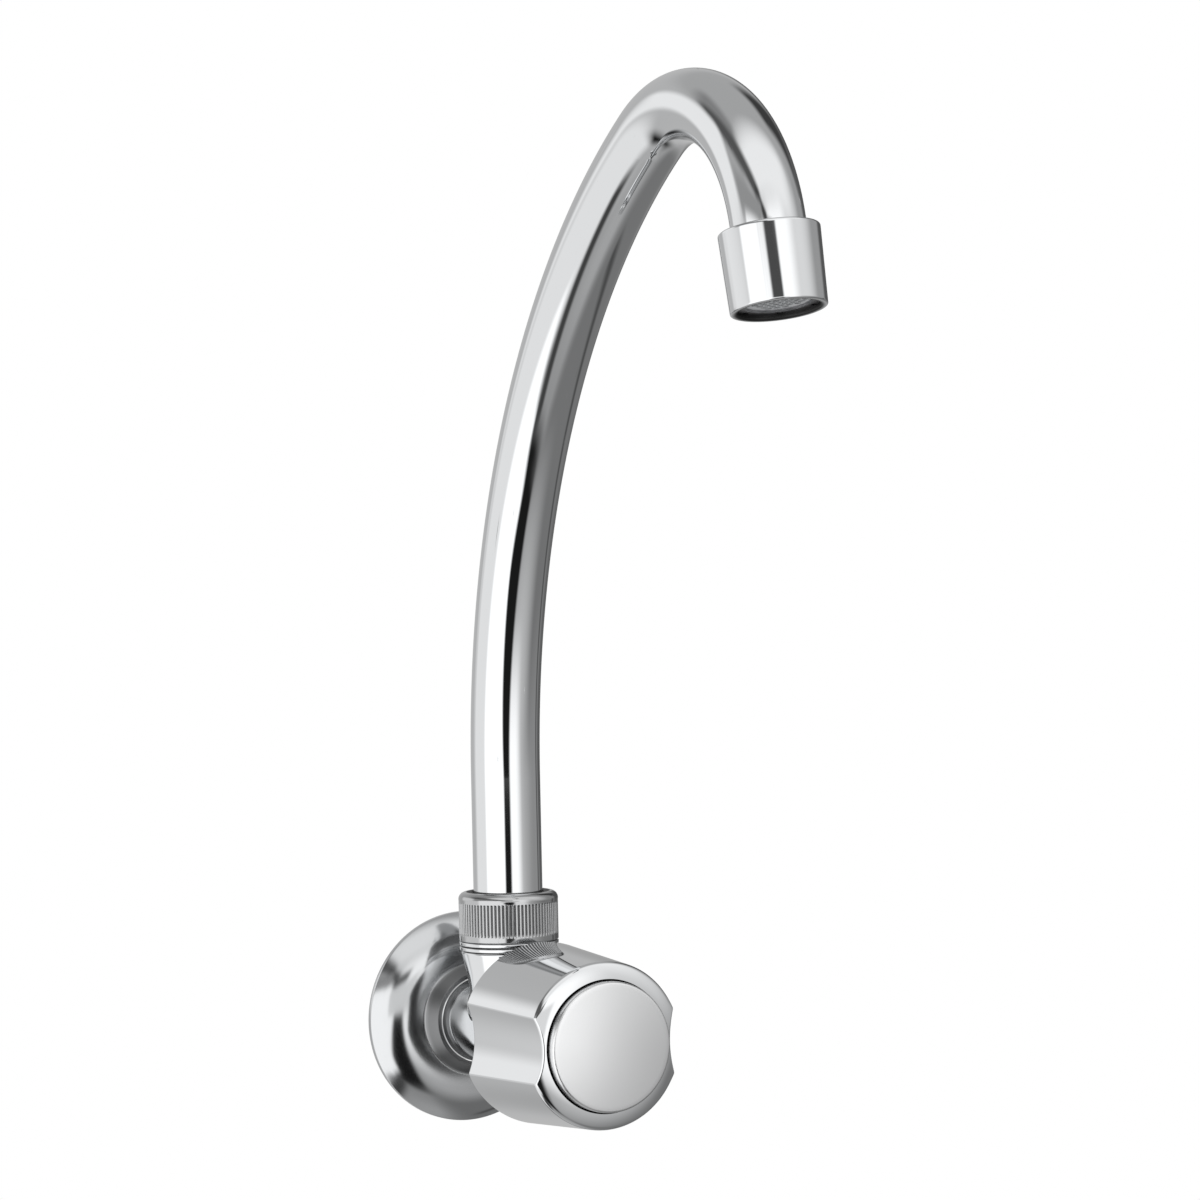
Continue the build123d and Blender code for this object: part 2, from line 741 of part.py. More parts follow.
# Knob shell: tapered side with two scallops, rounded front ring, web, boss and cap recess
cap_recess_radius = cap_diameter / 2 + slip_clearance
web_front = web_reach + web_thickness
ring_start = (knob_front_reach, knob_radius(knob_front_reach))
ring_end = (knob_ring_reach, cap_recess_radius)
ring_middle = (
    ring_start[0] + (ring_end[0] - ring_start[0]) * knob_ring_bulge_share,
    ring_end[1] + (ring_start[1] - ring_end[1]) * knob_ring_bulge_share,
)
with BuildPart() as knob_shell:
    loft(
        [knob_outline(knob_back_reach, 0), knob_outline(knob_ring_reach + overrun, 0)],
        ruled=True,
    )
    with BuildSketch(turning_plane):
        with BuildLine():
            Line((knob_back_reach, 0), (knob_back_reach, knob_back_diameter))
            Line((knob_back_reach, knob_back_diameter), (knob_front_reach, knob_back_diameter))
            Line((knob_front_reach, knob_back_diameter), ring_start)
            ThreePointArc(ring_start, ring_middle, ring_end)
            Line(ring_end, (knob_ring_reach, 0))
            Line((knob_ring_reach, 0), (knob_back_reach, 0))
        make_face()
    revolve(axis=inlet_axis, mode=Mode.INTERSECT)
    back_edge = knob_shell.faces().sort_by(Axis.Y)[-1].edges()
    fillet(back_edge, radius=knob_edge_fillet)
    add(knob_cavity.part, mode=Mode.SUBTRACT)
    recess_profile = [
        (web_front, 0),
        (web_front, cap_recess_radius - cap_seat_width),
        (cap_seat_reach, cap_recess_radius - cap_seat_width),
        (cap_seat_reach, cap_recess_radius),
        (knob_ring_reach + overrun, cap_recess_radius),
        (knob_ring_reach + overrun, 0),
    ]
    revolve(outline(turning_plane, recess_profile), axis=inlet_axis, mode=Mode.SUBTRACT)
    with BuildSketch(facing(insert_back)):
        Circle(insert_diameter / 2)
    extrude(amount=boss_length, mode=Mode.SUBTRACT)
    with BuildSketch(facing(web_reach)):
        Circle(screw_diameter / 2 + slip_clearance)
    extrude(amount=web_thickness, mode=Mode.SUBTRACT)
knob_shell.part.label = "knob_shell"
export_step(knob_shell.part, "parts/knob_shell.step")

# Brass insert, moulded into the boss, with the female spline
insert_radius = insert_diameter / 2
insert_middle = (insert_back + web_reach) / 2
with BuildPart() as knob_insert:
    insert_profile = [
        (insert_back, 0),
        (insert_back, insert_radius),
        (insert_middle - insert_groove_width / 2, insert_radius),
        (insert_middle - insert_groove_width / 2, insert_radius - insert_groove_depth),
        (insert_middle + insert_groove_width / 2, insert_radius - insert_groove_depth),
        (insert_middle + insert_groove_width / 2, insert_radius),
        (web_reach, insert_radius),
        (web_reach, 0),
    ]
    revolve(outline(turning_plane, insert_profile), axis=inlet_axis)
    socket = spline_outline(
        facing(insert_back - overrun),
        spline_diameter + 2 * slip_clearance,
        spline_root_diameter + 2 * slip_clearance,
    )
    extrude(socket, amount=web_reach - insert_back + 2 * overrun, mode=Mode.SUBTRACT)
knob_insert.part.label = "knob_insert"
export_step(knob_insert.part, "parts/knob_insert.step")

# Lock washer under the screw's head
head_back = web_front + screw_washer_thickness
with BuildPart() as screw_washer:
    revolve(
        ring_section(
            turning_plane,
            web_front,
            head_back,
            screw_diameter / 2 + slip_clearance,
            screw_washer_diameter / 2,
        ),
        axis=inlet_axis,
    )
screw_washer.part.label = "screw_washer"
export_step(screw_washer.part, "parts/screw_washer.step")

# Handle screw: slotted head, shank into the spindle's end
screw_tip = spline_front - screw_grip
with BuildPart() as handle_screw:
    screw_profile = [
        (screw_tip, 0),
        (screw_tip, screw_diameter / 2 - thread_clearance),
        (head_back, screw_diameter / 2 - thread_clearance),
        (head_back, screw_head_diameter / 2),
        (head_back + screw_head_height, screw_head_diameter / 2),
        (head_back + screw_head_height, 0),
    ]
    revolve(outline(turning_plane, screw_profile), axis=inlet_axis)
    with BuildSketch(facing(head_back + screw_head_height)):
        Rectangle(screw_head_diameter + 2 * overrun, screw_slot_width)
    extrude(amount=-screw_slot_depth, mode=Mode.SUBTRACT)
handle_screw.part.label = "handle_screw"
export_step(handle_screw.part, "parts/handle_screw.step")

# Index cap: a plain domed disc with a skirt that stands on the step in the recess
cap_radius = cap_diameter / 2
cap_inner_radius = cap_radius - cap_wall
dome_radius = (cap_radius**2 + cap_dome**2) / (2 * cap_dome)


def cap_face(radius, thickness):
    """Point of the domed face at a radius, moved in by a thickness."""
    fall = dome_radius - sqrt(dome_radius**2 - radius**2)
    return (cap_edge_reach + cap_dome - fall - thickness, radius)


with BuildPart() as index_cap:
    with BuildSketch(turning_plane) as cap_section:
        with BuildLine():
            Line((cap_seat_reach, cap_inner_radius), (cap_seat_reach, cap_radius))
            Line((cap_seat_reach, cap_radius), cap_face(cap_radius, 0))
            ThreePointArc(cap_face(cap_radius, 0), cap_face(cap_radius / 2, 0), cap_face(0, 0))
            Line(cap_face(0, 0), cap_face(0, cap_wall))
            ThreePointArc(
                cap_face(0, cap_wall),
                cap_face(cap_inner_radius / 2, cap_wall),
                cap_face(cap_inner_radius, cap_wall),
            )
            Line(cap_face(cap_inner_radius, cap_wall), (cap_seat_reach, cap_inner_radius))
        make_face()
        face_corner = cap_section.vertices().sort_by_distance((cap_edge_reach, cap_radius, 0))[0]
        fillet(face_corner, radius=cap_edge_fillet)
    revolve(axis=inlet_axis)
index_cap.part.label = "index_cap"
export_step(index_cap.part, "parts/index_cap.step")

# Spout tube, swept along its route
with BuildPart() as spout_tube:
    with BuildSketch(Plane(origin=tube_route.line @ 0, z_dir=tube_route.line % 0)):
        Circle(tube_diameter / 2)
        Circle(tube_bore / 2, mode=Mode.SUBTRACT)
    sweep(path=tube_route.line)
spout_tube.part.label = "spout_tube"
export_step(spout_tube.part, "parts/spout_tube.step")

# Spout collar: pin with two seal grooves, flange under the nut, spigot inside the tube
pin_radius = swivel_bore_diameter / 2 - running_clearance
collar_foot = swivel_bore_floor + collar_pin_gap
collar_groove_radius = pin_radius - collar_oring_section + running_clearance - seal_clearance
with BuildPart() as spout_collar:
    collar_profile = [
        (collar_bore_diameter / 2, collar_foot),
        (pin_radius - collar_chamfer, collar_foot),
        (pin_radius, collar_foot + collar_chamfer),
    ]
    for place in collar_oring_heights:
        collar_profile += [
            (pin_radius, place - collar_groove_width / 2),
            (collar_groove_radius, place - collar_groove_width / 2),
            (collar_groove_radius, place + collar_groove_width / 2),
            (pin_radius, place + collar_groove_width / 2),
        ]
    collar_profile += [
        (pin_radius, collar_flange_base),
        (collar_flange_diameter / 2, collar_flange_base),
        (collar_flange_diameter / 2, tube_foot),
        (tube_bore / 2, tube_foot),
        (tube_bore / 2, tube_foot + collar_spigot_length),
        (collar_bore_diameter / 2, tube_foot + collar_spigot_length),
    ]
    revolve(outline(neck_plane, collar_profile), axis=swivel_axis)
spout_collar.part.label = "spout_collar"
export_step(spout_collar.part, "parts/spout_collar.step")

# Two O-rings on the collar
with BuildPart() as spout_orings:
    for place in collar_oring_heights:
        with BuildSketch(neck_plane):
            with Locations((collar_groove_radius + collar_oring_section / 2, place)):
                Circle(collar_oring_section / 2 - seal_clearance / 2)
        revolve(axis=swivel_axis)
spout_orings.part.label = "spout_orings"
export_step(spout_orings.part, "parts/spout_orings.step")

# Slip washers: one under the collar's flange, one split ring between flange and nut lip
with BuildPart() as lower_slip_washer:
    revolve(
        ring_section(
            neck_plane,
            nipple_top,
            collar_flange_base - face_clearance,
            swivel_bore_diameter / 2,
            swivel_bore_diameter / 2 + lower_washer_wall,
        ),
        axis=swivel_axis,
    )
lower_slip_washer.part.label = "lower_slip_washer"
export_step(lower_slip_washer.part, "parts/lower_slip_washer.step")

nut_lip_base = nut_top - nut_lip_thickness
with BuildPart() as upper_slip_washer:
    revolve(
        ring_section(
            neck_plane,
            nut_lip_base - upper_washer_thickness,
            nut_lip_base,
            tube_diameter / 2 + loose_clearance,
            nipple_thread_diameter / 2 - slip_clearance,
        ),
        axis=swivel_axis,
    )
    with BuildSketch(neck_level(nut_lip_base)):
        Rectangle(upper_washer_slit, nut_diameter, align=(Align.CENTER, Align.MIN))
    extrude(amount=-upper_washer_thickness, mode=Mode.SUBTRACT)
upper_slip_washer.part.label = "upper_slip_washer"
export_step(upper_slip_washer.part, "parts/upper_slip_washer.step")

# Outlet nozzle: smooth tapered sleeve, socket for the tube, throat and a threaded mouth
thread_top = nozzle_length - nozzle_thread_depth
with BuildPart() as outlet_nozzle:
    with BuildSketch(outlet_plane):
        with BuildLine():
            Polyline(
                (tube_diameter / 2, 0),
                (nozzle_top_diameter / 2, 0),
                (nozzle_bottom_diameter / 2, nozzle_length),
                (nozzle_thread_diameter / 2, nozzle_length),
                (nozzle_thread_diameter / 2, thread_top),
                (nozzle_throat_diameter / 2, thread_top),
                (nozzle_throat_diameter / 2, tube_socket_depth),
                (tube_diameter / 2, tube_socket_depth),
                close=True,
            )
        make_face()
    revolve(axis=outlet_axis)
    outer_edges = outlet_nozzle.edges().filter_by(GeomType.CIRCLE).filter_by(
        lambda edge: edge.radius > nozzle_bottom_diameter / 2 - nozzle_bottom_fillet
    )
    top_edge = outer_edges.sort_by(Axis.Z)[-1]
    bottom_edge = outer_edges.sort_by(Axis.Z)[0]
    fillet(top_edge, radius=nozzle_top_fillet)
    fillet(bottom_edge, radius=nozzle_bottom_fillet)
outlet_nozzle.part.label = "outlet_nozzle"
export_step(outlet_nozzle.part, "parts/outlet_nozzle.step")

# Rubber washer between the nozzle's inner shoulder and the aerator
washer_bottom = thread_top + aerator_washer_thickness
aerator_bottom = nozzle_length - aerator_recess
aerator_radius = nozzle_thread_diameter / 2 - thread_clearance
aerator_bore = aerator_radius - aerator_wall
with BuildPart() as aerator_washer:
    revolve(
        ring_section(
            outlet_plane,
            thread_top,
            washer_bottom,
            nozzle_thread_diameter / 2 - slip_clearance - aerator_washer_wall,
            nozzle_thread_diameter / 2 - slip_clearance,
        ),
        axis=outlet_axis,
    )
aerator_washer.part.label = "aerator_washer"
export_step(aerator_washer.part, "parts/aerator_washer.step")

# Aerator housing: a threaded ring with an inward lip and notches for a key
lip_top = aerator_bottom - aerator_lip_thickness
grid_top = lip_top - grid_thickness
core_bottom = grid_top - screen_count * screen_spacing
with BuildPart() as aerator_housing:
    housing_points = [
        (aerator_bore, washer_bottom),
        (aerator_radius, washer_bottom),
        (aerator_radius, aerator_bottom),
        (aerator_bore - aerator_lip_width, aerator_bottom),
        (aerator_bore - aerator_lip_width, lip_top),
        (aerator_bore, lip_top),
    ]
    revolve(outline(outlet_plane, housing_points), axis=outlet_axis)
    with BuildSketch(outlet_level(aerator_bottom)):
        with PolarLocations(aerator_radius, aerator_notch_count):
            Rectangle(2 * aerator_wall, aerator_notch_width)
    extrude(amount=-aerator_notch_depth, mode=Mode.SUBTRACT)
aerator_housing.part.label = "aerator_housing"
export_step(aerator_housing.part, "parts/aerator_housing.step")


def drilled(rings, pitch, diameter):
    """Round holes on a centre hole and rings of six, twelve, eighteen and so on."""
    Circle(diameter / 2, mode=Mode.SUBTRACT)
    for ring in range(1, rings + 1):
        with PolarLocations(ring * pitch, 6 * ring):
            Circle(diameter / 2, mode=Mode.SUBTRACT)


# Aerator core: drilled plate with a skirt, which splits the stream into jets
insert_outer = aerator_bore - slip_clearance
hole_field = insert_outer - core_wall
core_hole_pitch = hole_field / (core_hole_rings + core_margin_share)
screen_hole_pitch = hole_field / (screen_hole_rings + screen_margin_share)
with BuildPart() as aerator_core:
    with BuildSketch(outlet_level(washer_bottom)):
        Circle(insert_outer)
        drilled(core_hole_rings, core_hole_pitch, core_hole_diameter)
    extrude(amount=core_plate_thickness)
    with BuildSketch(outlet_level(washer_bottom + core_plate_thickness)):
        Circle(insert_outer)
        Circle(insert_outer - core_wall, mode=Mode.SUBTRACT)
    extrude(amount=core_bottom - washer_bottom - core_plate_thickness)
aerator_core.part.label = "aerator_core"
export_step(aerator_core.part, "parts/aerator_core.step")

# Wire screens, drawn as thin drilled discs with a turned-up rim that spaces them
with BuildPart() as aerator_screens:
    for number in range(screen_count):
        top = core_bottom + number * screen_spacing
        with BuildSketch(outlet_level(top)):
            Circle(insert_outer)
            drilled(screen_hole_rings, screen_hole_pitch, screen_hole_diameter)
        extrude(amount=screen_thickness)
        with BuildSketch(outlet_level(top + screen_thickness)):
            Circle(insert_outer)
            Circle(insert_outer - core_wall, mode=Mode.SUBTRACT)
        extrude(amount=screen_spacing - screen_thickness - face_clearance)
aerator_screens.part.label = "aerator_screens"
export_step(aerator_screens.part, "parts/aerator_screens.step")

# Outlet grid: a plastic honeycomb at the mouth
with BuildPart() as outlet_grid:
    cell_radius = (grid_cell_pitch - grid_cell_wall) / 2
    cell_count = int(2 * insert_outer / grid_cell_pitch) + 2
    cells = HexLocations(grid_cell_pitch / 2, cell_count, cell_count, major_radius=False)
    reach_limit = insert_outer - core_wall - grid_cell_pitch / 2
    inside = [cell for cell in cells if cell.position.length < reach_limit]
    with BuildSketch(outlet_level(grid_top)):
        Circle(insert_outer)
        with Locations(*inside):
            RegularPolygon(cell_radius, 6, major_radius=False, mode=Mode.SUBTRACT)
    extrude(amount=grid_thickness)
outlet_grid.part.label = "outlet_grid"
export_step(outlet_grid.part, "parts/outlet_grid.step")
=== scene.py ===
# %% [markdown]
# This lesson dresses a wall-mounted sink tap for its portrait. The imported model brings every
# piece as a solid at its real size, in metres, with +Y into the wall and +Z up. What shows from
# outside is bright chrome plate, and a mirror gives away each flat facet of a solid's triangles.
# So the outside pieces are drawn again here as smooth surfaces worked out with numpy, right
# where their solids are, and the pieces inside keep their solids and get a finish.

# %% Load the frame and keep its box
import json
import math

import bpy
import numpy as np
from mathutils import Matrix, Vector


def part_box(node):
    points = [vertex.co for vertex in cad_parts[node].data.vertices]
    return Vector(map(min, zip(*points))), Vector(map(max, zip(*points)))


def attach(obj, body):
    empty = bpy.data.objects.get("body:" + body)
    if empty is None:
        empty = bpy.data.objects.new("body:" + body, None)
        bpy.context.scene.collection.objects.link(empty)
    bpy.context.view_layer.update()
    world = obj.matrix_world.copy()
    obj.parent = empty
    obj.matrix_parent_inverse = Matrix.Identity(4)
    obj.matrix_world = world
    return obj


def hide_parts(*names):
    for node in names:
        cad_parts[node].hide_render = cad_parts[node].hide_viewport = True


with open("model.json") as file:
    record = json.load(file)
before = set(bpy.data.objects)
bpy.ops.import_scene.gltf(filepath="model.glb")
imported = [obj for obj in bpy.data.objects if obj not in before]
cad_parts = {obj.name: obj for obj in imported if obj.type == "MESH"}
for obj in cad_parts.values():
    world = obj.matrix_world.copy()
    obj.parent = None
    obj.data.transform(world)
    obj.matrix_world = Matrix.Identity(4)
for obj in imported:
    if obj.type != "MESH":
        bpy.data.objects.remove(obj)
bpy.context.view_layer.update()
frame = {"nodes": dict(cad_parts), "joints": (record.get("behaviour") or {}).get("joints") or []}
MM = 0.001  # shapes are worked out in millimetres and stored in metres

# %% [markdown]
# The camera comes first, because everything after it is judged through it. Its place is from a
# least-squares match of the spout's, knob's, flange's and nut's outlines with the photograph.
# It stands about a metre and a half away, to the left of the tap and a little above the knob,
# with a long lens. A camera looks along its own -Z, so its third column points back at it.

# %% The camera
CAMERA_PLACE = (-0.63269, -1.36468, 0.17141)
CAMERA_AZIMUTH, CAMERA_PITCH, CAMERA_ROLL = -26.503, 1.885, -1.198  # degrees
IMAGE_PIXELS = 1200
FOCAL_PIXELS = 5101.8
SENSOR_WIDTH = 36.0


def facing_axes(azimuth, elevation, turn):
    """Right, up and back of a thing that stands at an azimuth and an elevation, faces the tap and
    is turned about its middle, all in degrees. Back points from the tap to the thing."""
    a, e, t = np.radians([azimuth, elevation, turn])
    back = np.array([np.sin(a) * np.cos(e), -np.cos(a) * np.cos(e), np.sin(e)])
    level = np.array([np.cos(a), np.sin(a), 0.0])
    rise = np.cross(back, level)
    return np.cos(t) * level + np.sin(t) * rise, np.cos(t) * rise - np.sin(t) * level, back


def new_object(name, data):
    """An object that holds some data, linked to the scene."""
    made = bpy.data.objects.new(name, data)
    bpy.context.scene.collection.objects.link(made)
    return made


def stand(thing, axes, place):
    """Stands a camera or a lamp at a place, with its right, up and back along three axes."""
    matrix = np.eye(4)
    matrix[:3, :3], matrix[:3, 3] = np.stack(axes, axis=1), place
    thing.matrix_world = Matrix(matrix.tolist())


camera_data = bpy.data.cameras.new("portrait")
camera_data.sensor_width = SENSOR_WIDTH
camera_data.sensor_fit = "HORIZONTAL"
camera_data.lens = FOCAL_PIXELS / IMAGE_PIXELS * SENSOR_WIDTH
camera = new_object("portrait", camera_data)
stand(camera, facing_axes(CAMERA_AZIMUTH, CAMERA_PITCH, CAMERA_ROLL), CAMERA_PLACE)
bpy.context.scene.camera = camera
print(f"lens {camera_data.lens:.1f} mm")

# %% [markdown]
# Nearly every piece of a tap is turned on a lathe, so most shapes here are a section carried
# round an axis. There are three axes: the inlet line out of the wall, the upright line that the
# spout swivels on, and the line down through the outlet. The first two are read from the frame.

# %% Axes, and points round them
LONG_BEND_RADIUS = 209.6
LONG_BEND_ANGLE = math.radians(58.6)
TOP_BEND_RADIUS = 43.9
TOP_BEND_ANGLE = math.radians(108.5)
RISER_TOP = 72.6
TAIL = 1.0

swivel = next(joint for joint in frame["joints"] if joint["name"] == "spout_swivel")
NECK_REACH = -swivel["pos_m"][1] / MM


def axis_frame(origin, ahead, side):
    """An axis: where it starts, where it points, and two directions across it."""
    ahead, side = np.array(ahead, float), np.array(side, float)
    return np.array(origin, float), ahead, side, np.cross(ahead, side)


def around(axis, along, radius, angle):
    """Points origin + along * ahead + radius * (cos(angle) * side + sin(angle) * up)."""
    origin, ahead, side, up = axis
    along, radius, angle = np.broadcast_arrays(along, radius, angle)
    across = np.cos(angle)[..., None] * side + np.sin(angle)[..., None] * up
    return origin + along[..., None] * ahead + radius[..., None] * across


def full_turn(steps):
    """Angles of evenly spaced columns once round an axis."""
    return np.arange(steps) * 2 * np.pi / steps


INLET = axis_frame((0, 0, 0), (0, -1, 0), (1, 0, 0))
SWIVEL = axis_frame((0, -NECK_REACH, 0), (0, 0, 1), (1, 0, 0))
print(f"the spout swivels {NECK_REACH:.1f} mm from the wall")

# %% [markdown]
# The swan neck follows a straight riser, one long gentle arc, one tight arc and a short tail.
# Written as a formula of the distance travelled, that route gives a point and a heading anywhere,
# and its end is where the outlet's axis starts.

# %% The spout's route
TUBE_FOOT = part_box("spout_tube")[0].z / MM
LONG_BEND_LENGTH = LONG_BEND_RADIUS * LONG_BEND_ANGLE
TOP_BEND_LENGTH = TOP_BEND_RADIUS * TOP_BEND_ANGLE
STRETCHES = [
    (RISER_TOP - TUBE_FOOT, math.inf),
    (LONG_BEND_LENGTH, LONG_BEND_RADIUS),
    (TOP_BEND_LENGTH, TOP_BEND_RADIUS),
    (TAIL, math.inf),
]


def spout_route(travelled):
    """Points and headings at distances along the route: each stretch starts where the one before
    it ended, and on an arc the heading swings from up towards the user by distance / radius."""
    travelled = np.asarray(travelled, float)
    points = np.zeros(travelled.shape + (3,))
    headings = np.zeros(travelled.shape + (3,))
    start, lean, done = np.array([0.0, -NECK_REACH, TUBE_FOOT]), 0.0, 0.0
    for number, (length, radius) in enumerate(STRETCHES):
        last = number == len(STRETCHES) - 1
        inside = (travelled >= done) & ((travelled <= done + length) | last)
        for mask, run in ((inside, travelled[inside] - done), (None, np.array([length]))):
            swing = lean + run / radius
            if math.isinf(radius):
                step = np.stack([0 * run, -np.sin(swing) * run, np.cos(swing) * run], axis=-1)
            else:
                step = radius * np.stack([
                    0 * run,
                    np.cos(swing) - math.cos(lean),
                    np.sin(swing) - math.sin(lean),
                ], axis=-1)
            heading = np.stack([0 * run, -np.sin(swing), np.cos(swing)], axis=-1)
            if mask is not None:
                points[mask], headings[mask] = start + step, heading
        start, lean, done = start + step[0], lean + length / radius, done + length
    return points, headings


ROUTE_LENGTH = sum(length for length, radius in STRETCHES)
outlet_start, outlet_heading = spout_route(ROUTE_LENGTH)
OUTLET = axis_frame(outlet_start, outlet_heading, (1, 0, 0))
print("outlet starts at", np.round(outlet_start, 2), "and points", np.round(outlet_heading, 4))

# %% [markdown]
# A section is an outline of (along, radius) pairs with rounded corners, because no cast, turned
# or plated edge is sharp, and the bright line that a rounded edge catches is what makes metal look
# real. Points crowd towards the ends of each straight side, so that smooth shading bends the
# light at the corner only and leaves the flats flat.

# %% Rounded sections
FINE = 0.02  # millimetres: points nearer than this are one point


def unit(vectors):
    """Each vector divided by its own length."""
    return vectors / np.linalg.norm(vectors, axis=-1, keepdims=True)


def rounded(corners, spacing=1.5, closed=True, arc_steps=6):
    """Outline through corners (along, radius, fillet). Each corner becomes an arc that touches
    both of its sides: centre = touching point + normal * fillet, swept by the turn there."""
    corners = np.array(corners, float)
    place, fillet = corners[:, :2], corners[:, 2:3]
    spacing = np.broadcast_to(spacing, len(corners))
    into = unit(place - np.roll(place, 1, axis=0))
    away = np.roll(into, -1, axis=0)
    cross = into[:, 0] * away[:, 1] - into[:, 1] * away[:, 0]
    turn = np.arctan2(cross, (into * away).sum(axis=1))[:, None]
    cut = fillet * np.tan(np.abs(turn) / 2)
    start, end = place - into * cut, place + away * cut
    normal = np.stack([-into[:, 1], into[:, 0]], axis=1) * np.sign(turn)
    centre = start + normal * fillet
    arm = (start - centre)[:, None]
    swing = (turn * np.linspace(0, 1, arc_steps + 1))[..., None]
    swung = arm * np.cos(swing) + np.stack([-arm[..., 1], arm[..., 0]], axis=-1) * np.sin(swing)
    arcs = centre[:, None] + swung
    pieces = []
    for number in range(len(corners)):
        pieces.append(arcs[number])
        if number < len(corners) - 1 or closed:
            run = start[(number + 1) % len(corners)] - end[number]
            parts = max(int(math.ceil(np.linalg.norm(run) / spacing[number])), 1)
            share = (1 - np.cos(np.linspace(0, np.pi, parts + 1)[1:-1, None])) / 2
            pieces.append(end[number] + run * share)
    points = np.concatenate(pieces)
    gap = np.linalg.norm(np.roll(points, -1, axis=0) - points, axis=1)
    keep = gap > FINE
    keep[-1] = keep[-1] or not closed
    return points[keep]


def arc_through(first, middle, last, steps):
    """Corners with no fillet along the circle through three points, ends included."""
    (ax, ay), (bx, by), (cx, cy) = first, middle, last
    twice = 2 * (ax * (by - cy) + bx * (cy - ay) + cx * (ay - by))
    squares = ax**2 + ay**2, bx**2 + by**2, cx**2 + cy**2
    x = (squares[0] * (by - cy) + squares[1] * (cy - ay) + squares[2] * (ay - by)) / twice
    y = (squares[0] * (cx - bx) + squares[1] * (ax - cx) + squares[2] * (bx - ax)) / twice
    radius = math.hypot(ax - x, ay - y)
    begin, finish = math.atan2(ay - y, ax - x), math.atan2(cy - y, cx - x)
    swing = (finish - begin + math.pi) % (2 * math.pi) - math.pi
    angles = begin + swing * np.linspace(0, 1, steps + 1)
    return [(x + radius * math.cos(a), y + radius * math.sin(a), 0.0) for a in angles]


# %% [markdown]
# A grid of points becomes a mesh by joining each point to its neighbours. The columns always
# close round the axis. The rows either close as well, as on a ring with a wall, or end in two
# poles. The signed volume tells whether the faces point outwards, and they are turned if not.

# %% From a grid of points to a piece
TURNED_STEPS = 240
# Shine for the rows of a piece. DULL_SHADED paints shade: where the shine is 0 the chrome turns rough
# and near black.
DULL_SHADED, BUFFED = 0.0, 1.0


def grid_shell(rows, poles=False, shine_and_shade=1.0):
    """Vertices, faces and shine over a grid of points, in rows x columns, closed both ways or at
    poles. Shine is 1 where the plating is polished and 0 in hollows, where the chrome is rougher
    and its colour falls to near black: painted shade."""
    rows = np.asarray(rows, float)
    count, turns = rows.shape[:2]
    shine_and_shade = np.broadcast_to(np.asarray(shine_and_shade, float), (count, turns))
    column = np.arange(turns)
    beside = (column + 1) % turns
    if poles:
        vertices = np.concatenate([
            rows[0].mean(axis=0, keepdims=True),
            rows[1:-1].reshape(-1, 3),
            rows[-1].mean(axis=0, keepdims=True),
        ])
        shine_and_shade = np.concatenate([shine_and_shade[0, :1], shine_and_shade[1:-1].ravel(), shine_and_shade[-1, :1]])
        base = 1 + np.arange(count - 3)[:, None] * turns
        last = len(vertices) - 1
        edge = 1 + (count - 3) * turns
        fans = [np.stack([0 * column, 1 + column, 1 + beside], axis=1)]
        fans.append(np.stack([0 * column + last, edge + beside, edge + column], axis=1))
        after = base + turns
    else:
        vertices, shine_and_shade = rows.reshape(-1, 3), shine_and_shade.ravel()
        base = np.arange(count)[:, None] * turns
        after = np.roll(base, -1, axis=0)
        fans = []
    quads = np.stack([base + column, after + column, after + beside, base + beside], axis=-1)
    quads = quads.reshape(-1, 4)
    corner = vertices[quads]
    volume = np.einsum("ij,ij->i", corner[:, 0], np.cross(corner[:, 1], corner[:, 2])).sum()
    volume += np.einsum("ij,ij->i", corner[:, 0], np.cross(corner[:, 2], corner[:, 3])).sum()
    faces = quads.tolist() + [face for fan in fans for face in fan.tolist()]
    if volume < 0:
        faces = [face[::-1] for face in faces]
    return vertices, faces, shine_and_shade


def turned(axis, section, poles=False, shine_and_shade=1.0):
    """A section of (along, radius) points carried once round an axis."""
    along, radius = section[:, :1], section[:, 1:]
    return grid_shell(around(axis, along, radius, full_turn(TURNED_STEPS)), poles, shine_and_shade)


def stacked(stretches, angle):
    """Grids out of stretches of rows, where each stretch has the same parts, such as along, radius
    and shine. A part may be one number, one value per row, one per column, or a whole grid."""
    grids = [np.broadcast_arrays(*parts, angle[None])[:-1] for parts in stretches]
    return [np.concatenate(grid) for grid in zip(*grids)]


def outside(section):
    """Shine along a section: 1 up to the last of its points that reach farthest, 0 after it, where
    the inside gets painted shade.
    """
    farthest = np.flatnonzero(section[:, 0] > section[:, 0].max() - FINE)[-1]
    return (np.arange(len(section)) <= farthest)[:, None]


def make_piece(name, body, replaced, shells):
    """One smooth object out of closed shells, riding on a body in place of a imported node."""
    vertices, faces, shines_and_shades, start = [], [], [], 0
    for points, sides, shine_and_shade in shells:
        vertices.append(points * MM)
        faces += [[start + corner for corner in side] for side in sides]
        shines_and_shades.append(shine_and_shade)
        start += len(points)
    mesh = bpy.data.meshes.new(name)
    mesh.from_pydata(np.concatenate(vertices), [], faces)
    mesh.shade_smooth()
    # The shine goes on the mesh, and the chrome paints shade where it is low.
    mesh.attributes.new("shine_and_shade", "FLOAT", "POINT").data.foreach_set("value", np.concatenate(shines_and_shades))
    piece = new_object(name, mesh)
    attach(piece, body)
    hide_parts(replaced)
    low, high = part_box(replaced)
    points = np.concatenate(vertices)
    misfit = max(np.abs(points.min(axis=0) - low).max(), np.abs(points.max(axis=0) - high).max())
    print(f"{name}: {len(faces)} faces, box within {misfit / MM:.2f} mm of its solid's")
    return piece
